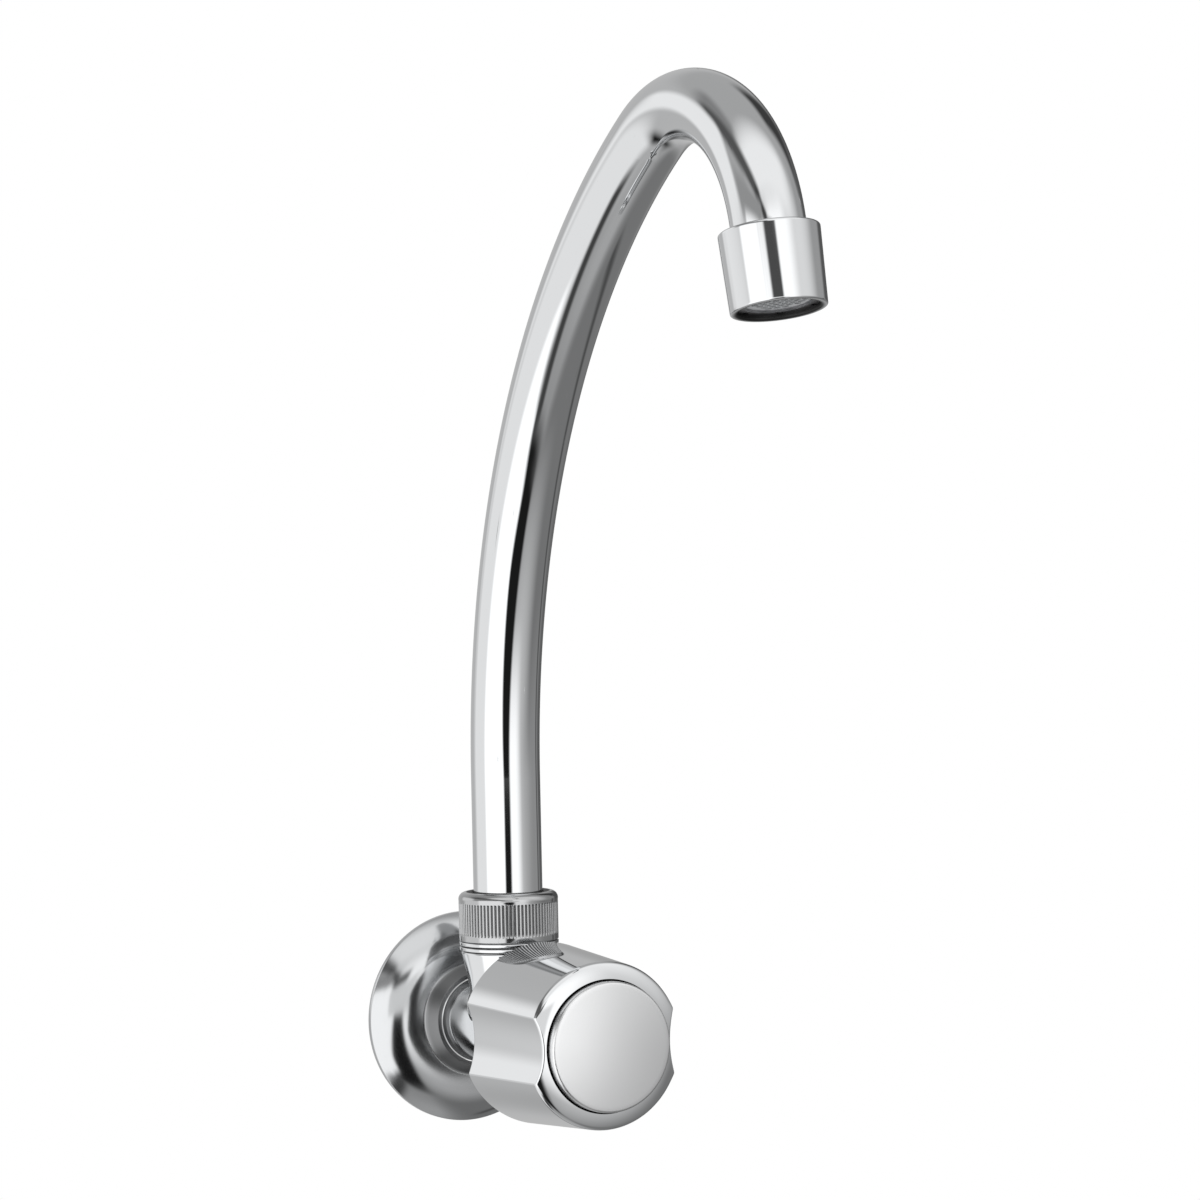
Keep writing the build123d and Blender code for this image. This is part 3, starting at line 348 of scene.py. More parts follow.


# %% [markdown]
# The flange is a sheet-brass cover, spun to a shallow dome with a straight rim that stands on the
# wall and a tapered collar that hides the end of the pipe. One closed section, outside and
# inside, makes it a real sheet with a wall. The real collar looks darker than a plain cone comes
# out in this studio, so its shine is turned down: that roughens it and paints shade into its
# colour. The painted shade is a stand-in, not a finish that was seen.

# %% Wall flange
FLANGE_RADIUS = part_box("wall_flange")[1].x / MM
FLANGE_WALL = 1.2
RIM_DEPTH = 1.8
DOME_MIDDLE = (6.3, 25.5)
COLLAR_BASE = (8.0, 16.5)
COLLAR_LIP = (-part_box("wall_flange")[0].y / MM, 13.9)
HUB_RADIUS = 12.5
HUB_SLIP = 0.1
# The collar's darkness is painted shade: over this span its shine falls by this share.
COLLAR_DULL_SHADE = 0.7
SHADE_FROM, SHADE_TO = COLLAR_BASE[0] - 0.6, COLLAR_BASE[0] + 0.8  # where the shine falls
OUTER_DOME_STEPS, INNER_DOME_STEPS = 26, 18


def smooth_step(values, low, high):
    """0 below low, 1 above high, and 3 t^2 - 2 t^3 between."""
    share = np.clip((values - low) / (high - low), 0, 1)
    return share * share * (3 - 2 * share)


def moved_in(point, wall):
    """A section's point moved in by a wall, both along the axis and towards it."""
    return (point[0] - wall, point[1] - wall)


dome_start = (RIM_DEPTH, FLANGE_RADIUS)
outer_dome = arc_through(dome_start, DOME_MIDDLE, COLLAR_BASE, OUTER_DOME_STEPS)
inner_dome = arc_through(
    moved_in(COLLAR_BASE, FLANGE_WALL),
    moved_in(DOME_MIDDLE, FLANGE_WALL),
    moved_in(dome_start, FLANGE_WALL),
    INNER_DOME_STEPS,
)
flange_section = rounded(
    [(0, FLANGE_RADIUS, 0.15), (*dome_start, 0.45)]
    + outer_dome[1:-1]
    + [
        (*COLLAR_BASE, 0.9),
        (*COLLAR_LIP, 0.4),
        (COLLAR_LIP[0], HUB_RADIUS + HUB_SLIP, 0.15),
        (*inner_dome[0][:2], 0.5),
    ]
    + inner_dome[1:-1]
    + [(*inner_dome[-1][:2], 0.2), (0, FLANGE_RADIUS - FLANGE_WALL, 0.15)]
)
# Painted shade: the collar and the inside of the sheet get less shine, so their chrome is darker.
on_collar = smooth_step(flange_section[:, :1], SHADE_FROM, SHADE_TO)
flange_shine_and_shade = outside(flange_section) * (1 - COLLAR_DULL_SHADE * on_collar)
wall_flange = make_piece(
    "flange_shell", "root", "wall_flange",
    [turned(INLET, flange_section, shine_and_shade=flange_shine_and_shade)],
)

# %% [markdown]
# The valve body is one casting, drawn as two closed shells that overlap inside the metal: the
# barrel on the inlet line and the neck on the swivel line. The inlet tail carries a real pipe
# thread, 14 turns to the inch. Its flanks stand 55 degrees apart with rounded crests and roots,
# and a cosine of one period per turn is nearly that shape.

# %% Barrel with its inlet thread
THREAD_RADIUS = 20.955 / 2
THREAD_PITCH = 25.4 / 14
THREAD_DEPTH = 0.64 * THREAD_PITCH
THREAD_LENGTH = 16.0
THREAD_CHAMFER = 1.0
THREAD_PLAIN, THREAD_RUNOUT = 0.3, 2.2  # from the hub: no groove up to one, all of it past two
BARREL_REACH = 56.0
BARREL_CHAMFER = 0.8
INLET_BORE_RADIUS = 7.0
SEAT_REACH = 23.0
SEAT_LAND = 4.0
SEAT_BORE_RADIUS = 5.5
CHAMBER_RADIUS = 9.3
HEADWORK_THREAD_LENGTH = 9.5
BARREL_STEPS = 192

headwork_floor = BARREL_REACH - HEADWORK_THREAD_LENGTH
seat_back = SEAT_REACH - SEAT_LAND
barrel_section = rounded([
    (-THREAD_LENGTH, INLET_BORE_RADIUS, 0.3),
    (-THREAD_LENGTH, THREAD_RADIUS - THREAD_CHAMFER, 0.2),
    (THREAD_CHAMFER - THREAD_LENGTH, THREAD_RADIUS, 0.2),
    (0, THREAD_RADIUS, 0.2),
    (0, HUB_RADIUS, 0.4),
    (BARREL_REACH - BARREL_CHAMFER, HUB_RADIUS, 0.4),
    (BARREL_REACH, HUB_RADIUS - BARREL_CHAMFER, 0.2),
    (BARREL_REACH, THREAD_RADIUS, 0.15),
    (headwork_floor, THREAD_RADIUS, 0.15),
    (headwork_floor, CHAMBER_RADIUS, 0.15),
    (SEAT_REACH, CHAMBER_RADIUS, 0.3),
    (SEAT_REACH, SEAT_BORE_RADIUS, 0.3),
    (seat_back, SEAT_BORE_RADIUS, 0.3),
    (seat_back, INLET_BORE_RADIUS, 0.3),
], spacing=[1.5, 0.15, 0.15] + [1.5] * 11)
barrel_along, barrel_radius = barrel_section[:, :1], barrel_section[:, 1:]
barrel_angle = full_turn(BARREL_STEPS)
on_thread = (barrel_along < 0) & (barrel_radius > INLET_BORE_RADIUS + THREAD_CHAMFER)
groove = THREAD_DEPTH * (0.5 - 0.5 * np.cos(2 * np.pi * barrel_along / THREAD_PITCH - barrel_angle))
fade = smooth_step(-barrel_along, THREAD_PLAIN, THREAD_RUNOUT)
cut_radius = np.minimum(barrel_radius, THREAD_RADIUS - groove * fade)
barrel_radius = np.where(on_thread, cut_radius, barrel_radius + 0 * barrel_angle)
barrel_shell = grid_shell(around(INLET, barrel_along, barrel_radius, barrel_angle))
print(f"thread: {THREAD_LENGTH / THREAD_PITCH:.1f} turns, {THREAD_DEPTH:.2f} mm deep")

# %% [markdown]
# The neck is a funnel that grows out of the barrel. Each column of its grid comes down the cone
# to where it would meet the barrel, and rounds into the barrel's skin on a curve that starts
# along the cone and ends flat on the cylinder: a quadratic Bezier between those two tangents.
# Above the cone are an undercut, two thin rim rings with a groove between, and the plain nipple
# that the union nut screws on.

# %% Neck, rim rings and nipple
NECK_ROOT_RADIUS = 9.2
CONE_TOP_RADIUS = 14.0
CONE_TOP = 22.4
RIM_RADIUS = 14.4
RIM_TOP = 24.9
RIM_GROOVE = 0.4
RIM_GROOVE_DEPTH = 0.6
UNDERCUT_HEIGHT = 0.5
UNDERCUT_DEPTH = 0.8
UNDERCUT_LEAD = 0.1
# Painted shade: the undercut and the rim groove are drawn dark from this far inside their edges.
SHADED_ABOVE_CONE, SHADED_BELOW_RIM = 0.05, 0.3  # the grooves are dull this far from their edges
NIPPLE_RADIUS = 11.95
NIPPLE_TOP = 34.1
SWIVEL_BORE_RADIUS = 9.0
SWIVEL_BORE_FLOOR = 12.0
PORT_RADIUS = 6.5
SADDLE_REACH = 1.7   # how far the rounding runs out over the barrel
SADDLE_STEPS = 14
CONE_STEPS = 18
INSIDE_BARREL_RADIUS = 10.9  # the shell's hidden end lies in the middle of the barrel's wall
HIDDEN_INSET = 1.0

neck_angle = full_turn(TURNED_STEPS)
widening = (CONE_TOP_RADIUS - NECK_ROOT_RADIUS) / CONE_TOP
squeeze = np.cos(neck_angle) ** 2


def on_cylinder(cylinder_radius, radius):
    """Height of a point at a radius from the swivel line, on a cylinder round the inlet line."""
    return np.sqrt(cylinder_radius**2 - squeeze * radius**2)


# The cone's line radius = root + widening * height meets the barrel where height solves
# (1 + w^2 c) h^2 + 2 w root c h + root^2 c - hub^2 = 0, with c the squeeze of its column.
quadratic = 1 + widening**2 * squeeze
linear = 2 * widening * NECK_ROOT_RADIUS * squeeze
constant = NECK_ROOT_RADIUS**2 * squeeze - HUB_RADIUS**2
meet_height = (-linear + np.sqrt(linear**2 - 4 * quadratic * constant)) / (2 * quadratic)
meet_radius = NECK_ROOT_RADIUS + widening * meet_height
end_radius = meet_radius + SADDLE_REACH
end_height = on_cylinder(HUB_RADIUS, end_radius)
end_slope = -end_radius * squeeze / end_height
knee_radius = (end_height - end_slope * end_radius + NECK_ROOT_RADIUS / widening) / (
    1 / widening - end_slope
)
knee_height = (knee_radius - NECK_ROOT_RADIUS) / widening
top_height = knee_height + np.hypot(end_radius - knee_radius, end_height - knee_height)
top_radius = NECK_ROOT_RADIUS + widening * top_height

undercut_radius = CONE_TOP_RADIUS - UNDERCUT_DEPTH
cone_end = CONE_TOP - UNDERCUT_HEIGHT
cone_end_radius = NECK_ROOT_RADIUS + widening * cone_end
groove_low, groove_high = (CONE_TOP + RIM_TOP - RIM_GROOVE) / 2, (CONE_TOP + RIM_TOP + RIM_GROOVE) / 2
collar_section = rounded([
    (cone_end, cone_end_radius, 0),
    (cone_end + UNDERCUT_LEAD, undercut_radius, 0.05),
    (CONE_TOP, undercut_radius, 0.05),
    (CONE_TOP, RIM_RADIUS, 0.25),
    (groove_low, RIM_RADIUS, 0.25),
    (groove_low, RIM_RADIUS - RIM_GROOVE_DEPTH, 0.05),
    (groove_high, RIM_RADIUS - RIM_GROOVE_DEPTH, 0.05),
    (groove_high, RIM_RADIUS, 0.25),
    (RIM_TOP, RIM_RADIUS, 0.25),
    (RIM_TOP, NIPPLE_RADIUS, 0.1),
    (NIPPLE_TOP, NIPPLE_RADIUS, 0.4),
    (NIPPLE_TOP, SWIVEL_BORE_RADIUS, 0.2),
    (SWIVEL_BORE_FLOOR, SWIVEL_BORE_RADIUS, 0.2),
    (SWIVEL_BORE_FLOOR, PORT_RADIUS, 0.2),
], closed=False)
cone_share = np.linspace(0, 1, CONE_STEPS)[:, None]
bend = np.linspace(0, 1, SADDLE_STEPS)[1:, None]


def quadratic_bezier(first, knee, last, share):
    """(1 - t)^2 first + 2 t (1 - t) knee + t^2 last."""
    return (1 - share) ** 2 * first + 2 * share * (1 - share) * knee + share**2 * last


hidden_radius = meet_radius - HIDDEN_INSET
neck_height, neck_radius = stacked([
    (collar_section[::-1, :1], collar_section[::-1, 1:]),
    (
        cone_end + (top_height - cone_end) * cone_share[1:],
        cone_end_radius + (top_radius - cone_end_radius) * cone_share[1:],
    ),
    (
        quadratic_bezier(top_height, knee_height, end_height, bend),
        quadratic_bezier(top_radius, knee_radius, end_radius, bend),
    ),
    (on_cylinder(INSIDE_BARREL_RADIUS, hidden_radius), hidden_radius),
    (on_cylinder(INSIDE_BARREL_RADIUS, PORT_RADIUS), PORT_RADIUS),
], neck_angle)
# Painted shade at the bottom of the undercut and of the rim groove: no shine there.
shaded_groove = neck_height > cone_end + SHADED_ABOVE_CONE
shaded_groove &= neck_radius < RIM_RADIUS - SHADED_BELOW_RIM
neck_shell = grid_shell(around(SWIVEL, neck_height, neck_radius, neck_angle), shine_and_shade=~shaded_groove)
valve_body = make_piece(
    "body_casting", "root", "valve_body", [barrel_shell, neck_shell]
)

# %% [markdown]
# The union nut is turned by fingers, so its middle has a straight knurl: narrow cuts along the
# axis with flat lands between. The radius is the turned section's, less a cut whose depth is a
# repeating bump of the angle, and the cuts fade out at both ends of the band as a rolled knurl's
# do. Above it the shoulder rounds over to the top face.

# %% Union nut
NUT_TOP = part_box("swivel_nut")[1].z / MM
NUT_RADIUS = RIM_RADIUS
NUT_BOTTOM = RIM_TOP
NUT_THREAD_RADIUS = 12.0
NUT_LIP = 2.0
NUT_MOUTH_RADIUS = 10.3
SHOULDER_HEIGHT = 2.5
SHOULDER_WIDTH = 2.4
SHOULDER_BULGE = 0.76
SHOULDER_STEPS = 14
NUT_CHAMFER = 0.4
KNURL_BASE = NUT_BOTTOM + 2.1
KNURL_HEIGHT = 9.2
KNURL_COUNT = 80
KNURL_DEPTH = 0.45
KNURL_FADE = 0.35
KNURL_FLANK = (0.3, 0.75)  # of the wave: land below the first, floor of the cut above the second
# Painted shade: the knurl's cuts are drawn darker as well as rougher, by this share.
KNURL_CUT_SHADE = 0.8
STEPS_PER_RIB = 12

shoulder_base = NUT_TOP - SHOULDER_HEIGHT
shoulder = arc_through(
    (shoulder_base, NUT_RADIUS),
    (
        shoulder_base + SHOULDER_HEIGHT * SHOULDER_BULGE,
        NUT_RADIUS - SHOULDER_WIDTH * (1 - SHOULDER_BULGE),
    ),
    (NUT_TOP, NUT_RADIUS - SHOULDER_WIDTH),
    SHOULDER_STEPS,
)
nut_section = rounded(
    [
        (NUT_BOTTOM, NUT_THREAD_RADIUS, 0.1),
        (NUT_BOTTOM, NUT_RADIUS - NUT_CHAMFER, 0.1),
        (NUT_BOTTOM + NUT_CHAMFER, NUT_RADIUS, 0.2),
    ]
    + shoulder
    + [
        (NUT_TOP, NUT_MOUTH_RADIUS, 0.3),
        (NUT_TOP - NUT_LIP, NUT_MOUTH_RADIUS, 0.2),
        (NUT_TOP - NUT_LIP, NUT_THREAD_RADIUS, 0.1),
    ],
    spacing=[1.0, 1.0, 0.3] + [1.0] * (len(shoulder) + 3),
)
nut_along, nut_radius = nut_section[:, :1], nut_section[:, 1:]
nut_angle = full_turn(KNURL_COUNT * STEPS_PER_RIB)
wave = 0.5 + 0.5 * np.cos(KNURL_COUNT * nut_angle)
groove = smooth_step(wave, *KNURL_FLANK)
band = smooth_step(nut_along, KNURL_BASE, KNURL_BASE + KNURL_FADE) * (
    1 - smooth_step(nut_along, KNURL_BASE + KNURL_HEIGHT - KNURL_FADE, KNURL_BASE + KNURL_HEIGHT)
)
on_outside = nut_radius > NUT_THREAD_RADIUS + NUT_LIP / 2
groove = groove * band * on_outside
# Painted shade in the knurl's cuts and inside the nut.
swivel_nut = make_piece(
    "knurled_nut", "root", "swivel_nut",
    [grid_shell(
        around(SWIVEL, nut_along, nut_radius - KNURL_DEPTH * groove, nut_angle),
        shine_and_shade=outside(nut_section) * (1 - KNURL_CUT_SHADE * groove),
    )],
)

# %% [markdown]
# The spout is one bent tube. Circles stand square to the route at every millimetre or two, wide
# ones for the outside and, coming back, narrow ones for the bore. The same circles drawn closer
# together on the tight bend keep its reflections smooth.

# %% Spout tube
TUBE_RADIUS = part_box("spout_tube")[1].x / MM
TUBE_WALL = 1.2
SOCKET_DEPTH = 6.0
TUBE_END_FILLET = 0.15
TUBE_STEPS = 128
RISER_STEP, LONG_BEND_STEP, TOP_BEND_STEP, TAIL_STEP = 1.8, 2.0, 1.0, 0.8  # between circles

bend_start = RISER_TOP - TUBE_FOOT
bend_middle = bend_start + LONG_BEND_LENGTH
bend_end = bend_middle + TOP_BEND_LENGTH
tube_end = ROUTE_LENGTH + SOCKET_DEPTH
stations = np.concatenate([
    np.arange(TUBE_END_FILLET, bend_start, RISER_STEP),
    np.arange(bend_start, bend_middle, LONG_BEND_STEP),
    np.arange(bend_middle, bend_end, TOP_BEND_STEP),
    np.arange(bend_end, tube_end - TUBE_END_FILLET, TAIL_STEP),
    [tube_end - TUBE_END_FILLET],
])
tube_places = np.concatenate([[0], stations, [tube_end], [tube_end], stations[::-2], [0]])
bore = TUBE_RADIUS - TUBE_WALL
tube_radii = np.concatenate([
    [TUBE_RADIUS - TUBE_END_FILLET],
    np.full(len(stations), TUBE_RADIUS),
    [TUBE_RADIUS - TUBE_END_FILLET, bore + TUBE_END_FILLET],
    np.full(len(stations[::-2]), bore),
    [bore + TUBE_END_FILLET],
])


def swept(places, radii, steps):
    """Circles along the spout's route: point = centre + radius * (cos a * X + sin a * N), where
    the normal N is X crossed with the heading."""
    centres, headings = spout_route(places)
    normals = np.cross(np.array([1.0, 0, 0]), headings)
    angle = full_turn(steps)[:, None]
    ring = np.cos(angle) * np.array([1.0, 0, 0]) + np.sin(angle) * normals[:, None]
    return centres[:, None] + np.asarray(radii)[:, None, None] * ring


# Painted shade: the bore gets no shine, so its chrome is near black.
on_tube = tube_radii[:, None] > TUBE_RADIUS - TUBE_WALL / 2
spout_tube = make_piece(
    "swan_neck", "spout", "spout_tube",
    [grid_shell(swept(tube_places, tube_radii, TUBE_STEPS), shine_and_shade=on_tube)],
)

# %% [markdown]
# The outlet is a sleeve brazed on the tube's end. It tapers a little, and the light catches its
# rounded edges at the top, where it stands proud of the tube, and round the mouth. A thin fillet
# of braze fills the corner where the tube goes in.

# %% Outlet nozzle
NOZZLE_LENGTH = 21.4
NOZZLE_TOP_RADIUS = 13.5
NOZZLE_BOTTOM_RADIUS = 12.85
NOZZLE_THREAD_RADIUS = 11.0
NOZZLE_THREAD_TOP = 10.4
NOZZLE_THROAT_RADIUS = 8.8
MOUTH_CHAMFER = 0.35
SOCKET_FIT = 0.02
BRAZE = 0.25
BRAZE_SINK = 0.1     # the fillet's hidden side, inside the tube's wall
BRAZE_OVERLAP = 0.05  # and its foot, inside the nozzle
BRAZE_FEATHER = 0.01
BRAZE_CURVE = ((0.15, 0.7), (0.4, 0.3))  # its hollow, in shares of its size back and out
# Painted shade: the fillet in the corner is drawn darker than the chrome round it.
BRAZE_SHINE_AND_SHADE = 0.6

nozzle_section = rounded([
    (SOCKET_DEPTH, TUBE_RADIUS + SOCKET_FIT, 0.1),
    (0, TUBE_RADIUS + SOCKET_FIT, SOCKET_FIT),
    (0, NOZZLE_TOP_RADIUS, 0.6),
    (NOZZLE_LENGTH, NOZZLE_BOTTOM_RADIUS, 0.45),
    (NOZZLE_LENGTH, NOZZLE_THREAD_RADIUS + MOUTH_CHAMFER, 0.1),
    (NOZZLE_LENGTH - MOUTH_CHAMFER, NOZZLE_THREAD_RADIUS, 0.1),
    (NOZZLE_THREAD_TOP, NOZZLE_THREAD_RADIUS, 0.2),
    (NOZZLE_THREAD_TOP, NOZZLE_THROAT_RADIUS, 0.2),
    (SOCKET_DEPTH, NOZZLE_THROAT_RADIUS, 0.2),
])
braze_section = np.array([
    (BRAZE_OVERLAP, TUBE_RADIUS - BRAZE_SINK),
    (BRAZE_OVERLAP, TUBE_RADIUS + BRAZE),
    *[(-BRAZE * back, TUBE_RADIUS + BRAZE * out) for back, out in BRAZE_CURVE],
    (-BRAZE, TUBE_RADIUS + BRAZE_FEATHER),
    (-BRAZE, TUBE_RADIUS - BRAZE_SINK),
])
# Painted shade inside the sleeve, and on the fillet in the corner.
outlet_nozzle = make_piece(
    "outlet_sleeve", "spout", "outlet_nozzle",
    [
        turned(OUTLET, nozzle_section, shine_and_shade=outside(nozzle_section)),
        turned(OUTLET, braze_section, shine_and_shade=BRAZE_SHINE_AND_SHADE),
    ],
)

# %% [markdown]
# The knob is a hollow die casting. Seen from the front its outline is a circle with two shallow
# scallops for the fingers, each the arc of a larger circle, with a small arc that touches both
# where they meet. All three are radii of the angle, so one formula gives the outline at any
# size, and the tapered side is that outline shrinking towards the front.

# %% The knob's outline
KNOB_BACK = 53.6
KNOB_BACK_RADIUS = 26.1
KNOB_FRONT = 92.6
KNOB_FRONT_RADIUS = 23.7
SCALLOP_CENTRE = 1.856  # all three are shares of the knob's radius
SCALLOP_RADIUS = 1.011
CORNER_ROUND = 1.2  # millimetres, at the back edge
SCALLOP_CORNER = CORNER_ROUND / KNOB_BACK_RADIUS
KNOB_COLUMNS, CORNER_COLUMNS = 300, 26
CORNER_SPREAD = 1.2  # the extra columns reach this many times a corner's width to each side

corner_centre = 1 - SCALLOP_CORNER
corner_turn = math.acos(
    (corner_centre**2 + SCALLOP_CENTRE**2 - (SCALLOP_RADIUS + SCALLOP_CORNER) ** 2)
    / (2 * SCALLOP_CENTRE * corner_centre)
)
corner_point = corner_centre * np.array([math.cos(corner_turn), math.sin(corner_turn)])
scallop_middle = np.array([SCALLOP_CENTRE, 0])
touch = scallop_middle + (corner_point - scallop_middle) * SCALLOP_RADIUS / (
    SCALLOP_RADIUS + SCALLOP_CORNER
)
touch_turn = math.atan2(touch[1], touch[0])


def folded(angle):
    """Angle from the middle of the nearer scallop."""
    return np.abs(np.arcsin(np.sin(angle)))


def knob_shape(angle):
    """Share of the knob's radius at an angle. Off the scallops it is 1. In a scallop it is
    c cos t - sqrt(s^2 - c^2 sin^2 t), and on the corner p cos u + sqrt(f^2 - p^2 sin^2 u)."""
    fold = folded(angle)
    dip = np.clip(SCALLOP_RADIUS**2 - (SCALLOP_CENTRE * np.sin(fold)) ** 2, 0, None)
    scallop = SCALLOP_CENTRE * np.cos(fold) - np.sqrt(dip)
    off = fold - corner_turn
    bulge = np.clip(SCALLOP_CORNER**2 - (corner_centre * np.sin(off)) ** 2, 0, None)
    corner = corner_centre * np.cos(off) + np.sqrt(bulge)
    return np.where(fold < touch_turn, scallop, np.where(fold < corner_turn, corner, 1.0))


def knob_angles(spread, close):
    """Angles round the knob, with extra ones through the four corners between arc and circle."""
    coarse = full_turn(spread)
    middle = (touch_turn + corner_turn) / 2
    reach = (corner_turn - touch_turn) * CORNER_SPREAD
    near = middle + reach * np.linspace(-1, 1, close)
    extra = np.concatenate([near, np.pi - near, np.pi + near, 2 * np.pi - near])
    clear = np.abs(folded(coarse) - middle) > reach
    return np.sort(np.concatenate([coarse[clear], extra]))


knob_angle = knob_angles(KNOB_COLUMNS, CORNER_COLUMNS)
knob_share = knob_shape(knob_angle)
print(f"scallops span {2 * math.degrees(corner_turn):.0f} degrees, {len(knob_angle)} columns")

# %% [markdown]
# One closed section carries the rest of the knob: out of the recess for the cap, over the front
# ring, down the tapered side, round the back edge, up inside the wall to the web, and round the
# boss that holds the insert. Its outside rows follow the scalloped outline, its inside rows are
# the outline less the wall, and the rows of the recess and the boss are plain circles.

# %% Knob shell
KNOB_RING = 94.8
RING_INNER_TILT = math.radians(9.0)
RING_OUTER_TILT = math.radians(26.0)
RING_EDGE_ROUND = 1.0
SCALLOP_EDGE_ROUND = 0.65
KNOB_WALL = 2.2
KNOB_EDGE_ROUND = 0.8
RECESS_RADIUS = 18.5
RECESS_GAP = 0.25  # the visible gap round the cap is this much wider than the slip fit
RECESS_STEP_RADIUS = 15.5
RECESS_SEAT = 88.0
WEB_BACK = 82.0
WEB_FRONT = 84.5
BOSS_RADIUS = 9.0
BOSS_BACK = 69.0
INSERT_RADIUS = 6.5
SCREW_HOLE_RADIUS = 2.3
RIB_THICKNESS = 1.8
RIB_COUNT = 4
RIB_STEPS = 6
RIB_SINK = 0.5       # a rib goes this far into the web,
RIB_ROOT = 1.0       # and this far into the boss
RECESS_BREAK = 0.2
BOSS_APRON = 1.5
LIP_ROUND = 0.3
CAVITY_ROUND = 1.2
EDGE_PASSES = 3      # each brings the edge nearer to where the ring meets the side
ROUND_FADE = 0.1     # radians past a scallop's corner where the edge has its full rounding
RING_ROWS, EDGE_ROWS, SIDE_ROWS, BACK_ROWS, LIP_ROWS, WALL_ROWS = 16, 9, 26, 8, 4, 12


def side_radius(reach):
    """Radius of the tapered side, a straight line from the back edge to the front one."""
    share = (reach - KNOB_BACK) / (KNOB_FRONT - KNOB_BACK)
    return KNOB_BACK_RADIUS + (KNOB_FRONT_RADIUS - KNOB_BACK_RADIUS) * share


def ring_reach(radius):
    """Reach of the front ring, whose slope grows evenly from its inner tilt to its outer tilt:
    reach = front - tan(inner) u - (tan(outer) - tan(inner)) u^2 / (2 width)."""
    out = radius - RECESS_RADIUS
    steepening = math.tan(RING_OUTER_TILT) - math.tan(RING_INNER_TILT)
    width = KNOB_FRONT_RADIUS - RECESS_RADIUS
    return KNOB_RING - math.tan(RING_INNER_TILT) * out - steepening * out**2 / (2 * width)


edge_radius = knob_share * side_radius(KNOB_FRONT)
for _ in range(EDGE_PASSES):
    edge_reach = ring_reach(edge_radius)
    edge_radius = knob_share * side_radius(edge_reach)
on_round = smooth_step(folded(knob_angle), touch_turn, corner_turn + ROUND_FADE)
edge_round = SCALLOP_EDGE_ROUND + (RING_EDGE_ROUND - SCALLOP_EDGE_ROUND) * on_round
recess_wall = RECESS_RADIUS + RECESS_GAP
inner_end = recess_wall + RECESS_BREAK
outer_end = edge_radius - edge_round
ring_share = np.linspace(0, 1, RING_ROWS)[1:, None]
ring_radius = inner_end + (outer_end - inner_end) * ring_share
edge_share = np.linspace(0, 1, EDGE_ROWS)[1:, None]
side_top = edge_reach - edge_round
side_share = (1 - np.cos(np.linspace(0, np.pi, SIDE_ROWS)))[1:, None] / 2
side_reach = side_top + (KNOB_BACK + KNOB_EDGE_ROUND - side_top) * side_share
back_turn = np.linspace(0, np.pi / 2, BACK_ROWS)[1:, None]
back_round = KNOB_EDGE_ROUND * np.sin(back_turn)
back_inset = KNOB_EDGE_ROUND * (1 - np.cos(back_turn))
lip_turn = np.linspace(0, np.pi / 2, LIP_ROWS)[:, None]
wall_share = np.linspace(0, 1, WALL_ROWS)[1:, None]
wall_start, wall_end = KNOB_BACK + LIP_ROUND, WEB_BACK - CAVITY_ROUND
wall_reach = wall_start + (wall_end - wall_start) * wall_share

front_rows = rounded([
    (RECESS_SEAT, RECESS_STEP_RADIUS, 0),
    (RECESS_SEAT, recess_wall, 0.2),
    (ring_reach(recess_wall), recess_wall, 0.15),
    (ring_reach(inner_end), inner_end, 0),
], closed=False)
inner_rows = rounded([
    (WEB_BACK, BOSS_RADIUS + BOSS_APRON, 0),
    (WEB_BACK, BOSS_RADIUS, 0.6),
    (BOSS_BACK, BOSS_RADIUS, 0.4),
    (BOSS_BACK, INSERT_RADIUS, 0.2),
    (WEB_BACK, INSERT_RADIUS, 0.1),
    (WEB_BACK, SCREW_HOLE_RADIUS, 0.1),
    (WEB_FRONT, SCREW_HOLE_RADIUS, 0.1),
    (WEB_FRONT, RECESS_STEP_RADIUS, 0.4),
    (RECESS_SEAT, RECESS_STEP_RADIUS, 0),
], closed=False)
back_reach = KNOB_BACK + KNOB_EDGE_ROUND - back_round
cavity_top = knob_share * side_radius(wall_end) - KNOB_WALL
cavity_turn = lip_turn[1:]
# Painted shade: the recess round the cap and the knob's hollow inside are dull, so their chrome is
# near black.
knob_reach, knob_radius, knob_shine_and_shade = stacked([
    (front_rows[1:-2, :1], front_rows[1:-2, 1:], DULL_SHADED),
    (front_rows[-2:, :1], front_rows[-2:, 1:], BUFFED),
    (ring_reach(ring_radius), ring_radius, BUFFED),
    (
        quadratic_bezier(ring_reach(outer_end), edge_reach, side_top, edge_share),
        quadratic_bezier(outer_end, edge_radius, knob_share * side_radius(side_top), edge_share),
        BUFFED,
    ),
    (side_reach, knob_share * side_radius(side_reach), BUFFED),
    (back_reach, knob_share * side_radius(back_reach) - back_inset, BUFFED),
    (
        KNOB_BACK + LIP_ROUND * (1 - np.cos(lip_turn)),
        knob_share * KNOB_BACK_RADIUS - KNOB_WALL + LIP_ROUND * (1 - np.sin(lip_turn)),
        DULL_SHADED,
    ),
    (wall_reach, knob_share * side_radius(wall_reach) - KNOB_WALL, DULL_SHADED),
    (
        WEB_BACK - CAVITY_ROUND * (1 - np.sin(cavity_turn)),
        cavity_top - CAVITY_ROUND * (1 - np.cos(cavity_turn)),
        DULL_SHADED,
    ),
    (inner_rows[:-1, :1], inner_rows[:-1, 1:], DULL_SHADED),
], knob_angle)
knob_skin = grid_shell(around(INLET, knob_reach, knob_radius, knob_angle), shine_and_shade=knob_shine_and_shade)


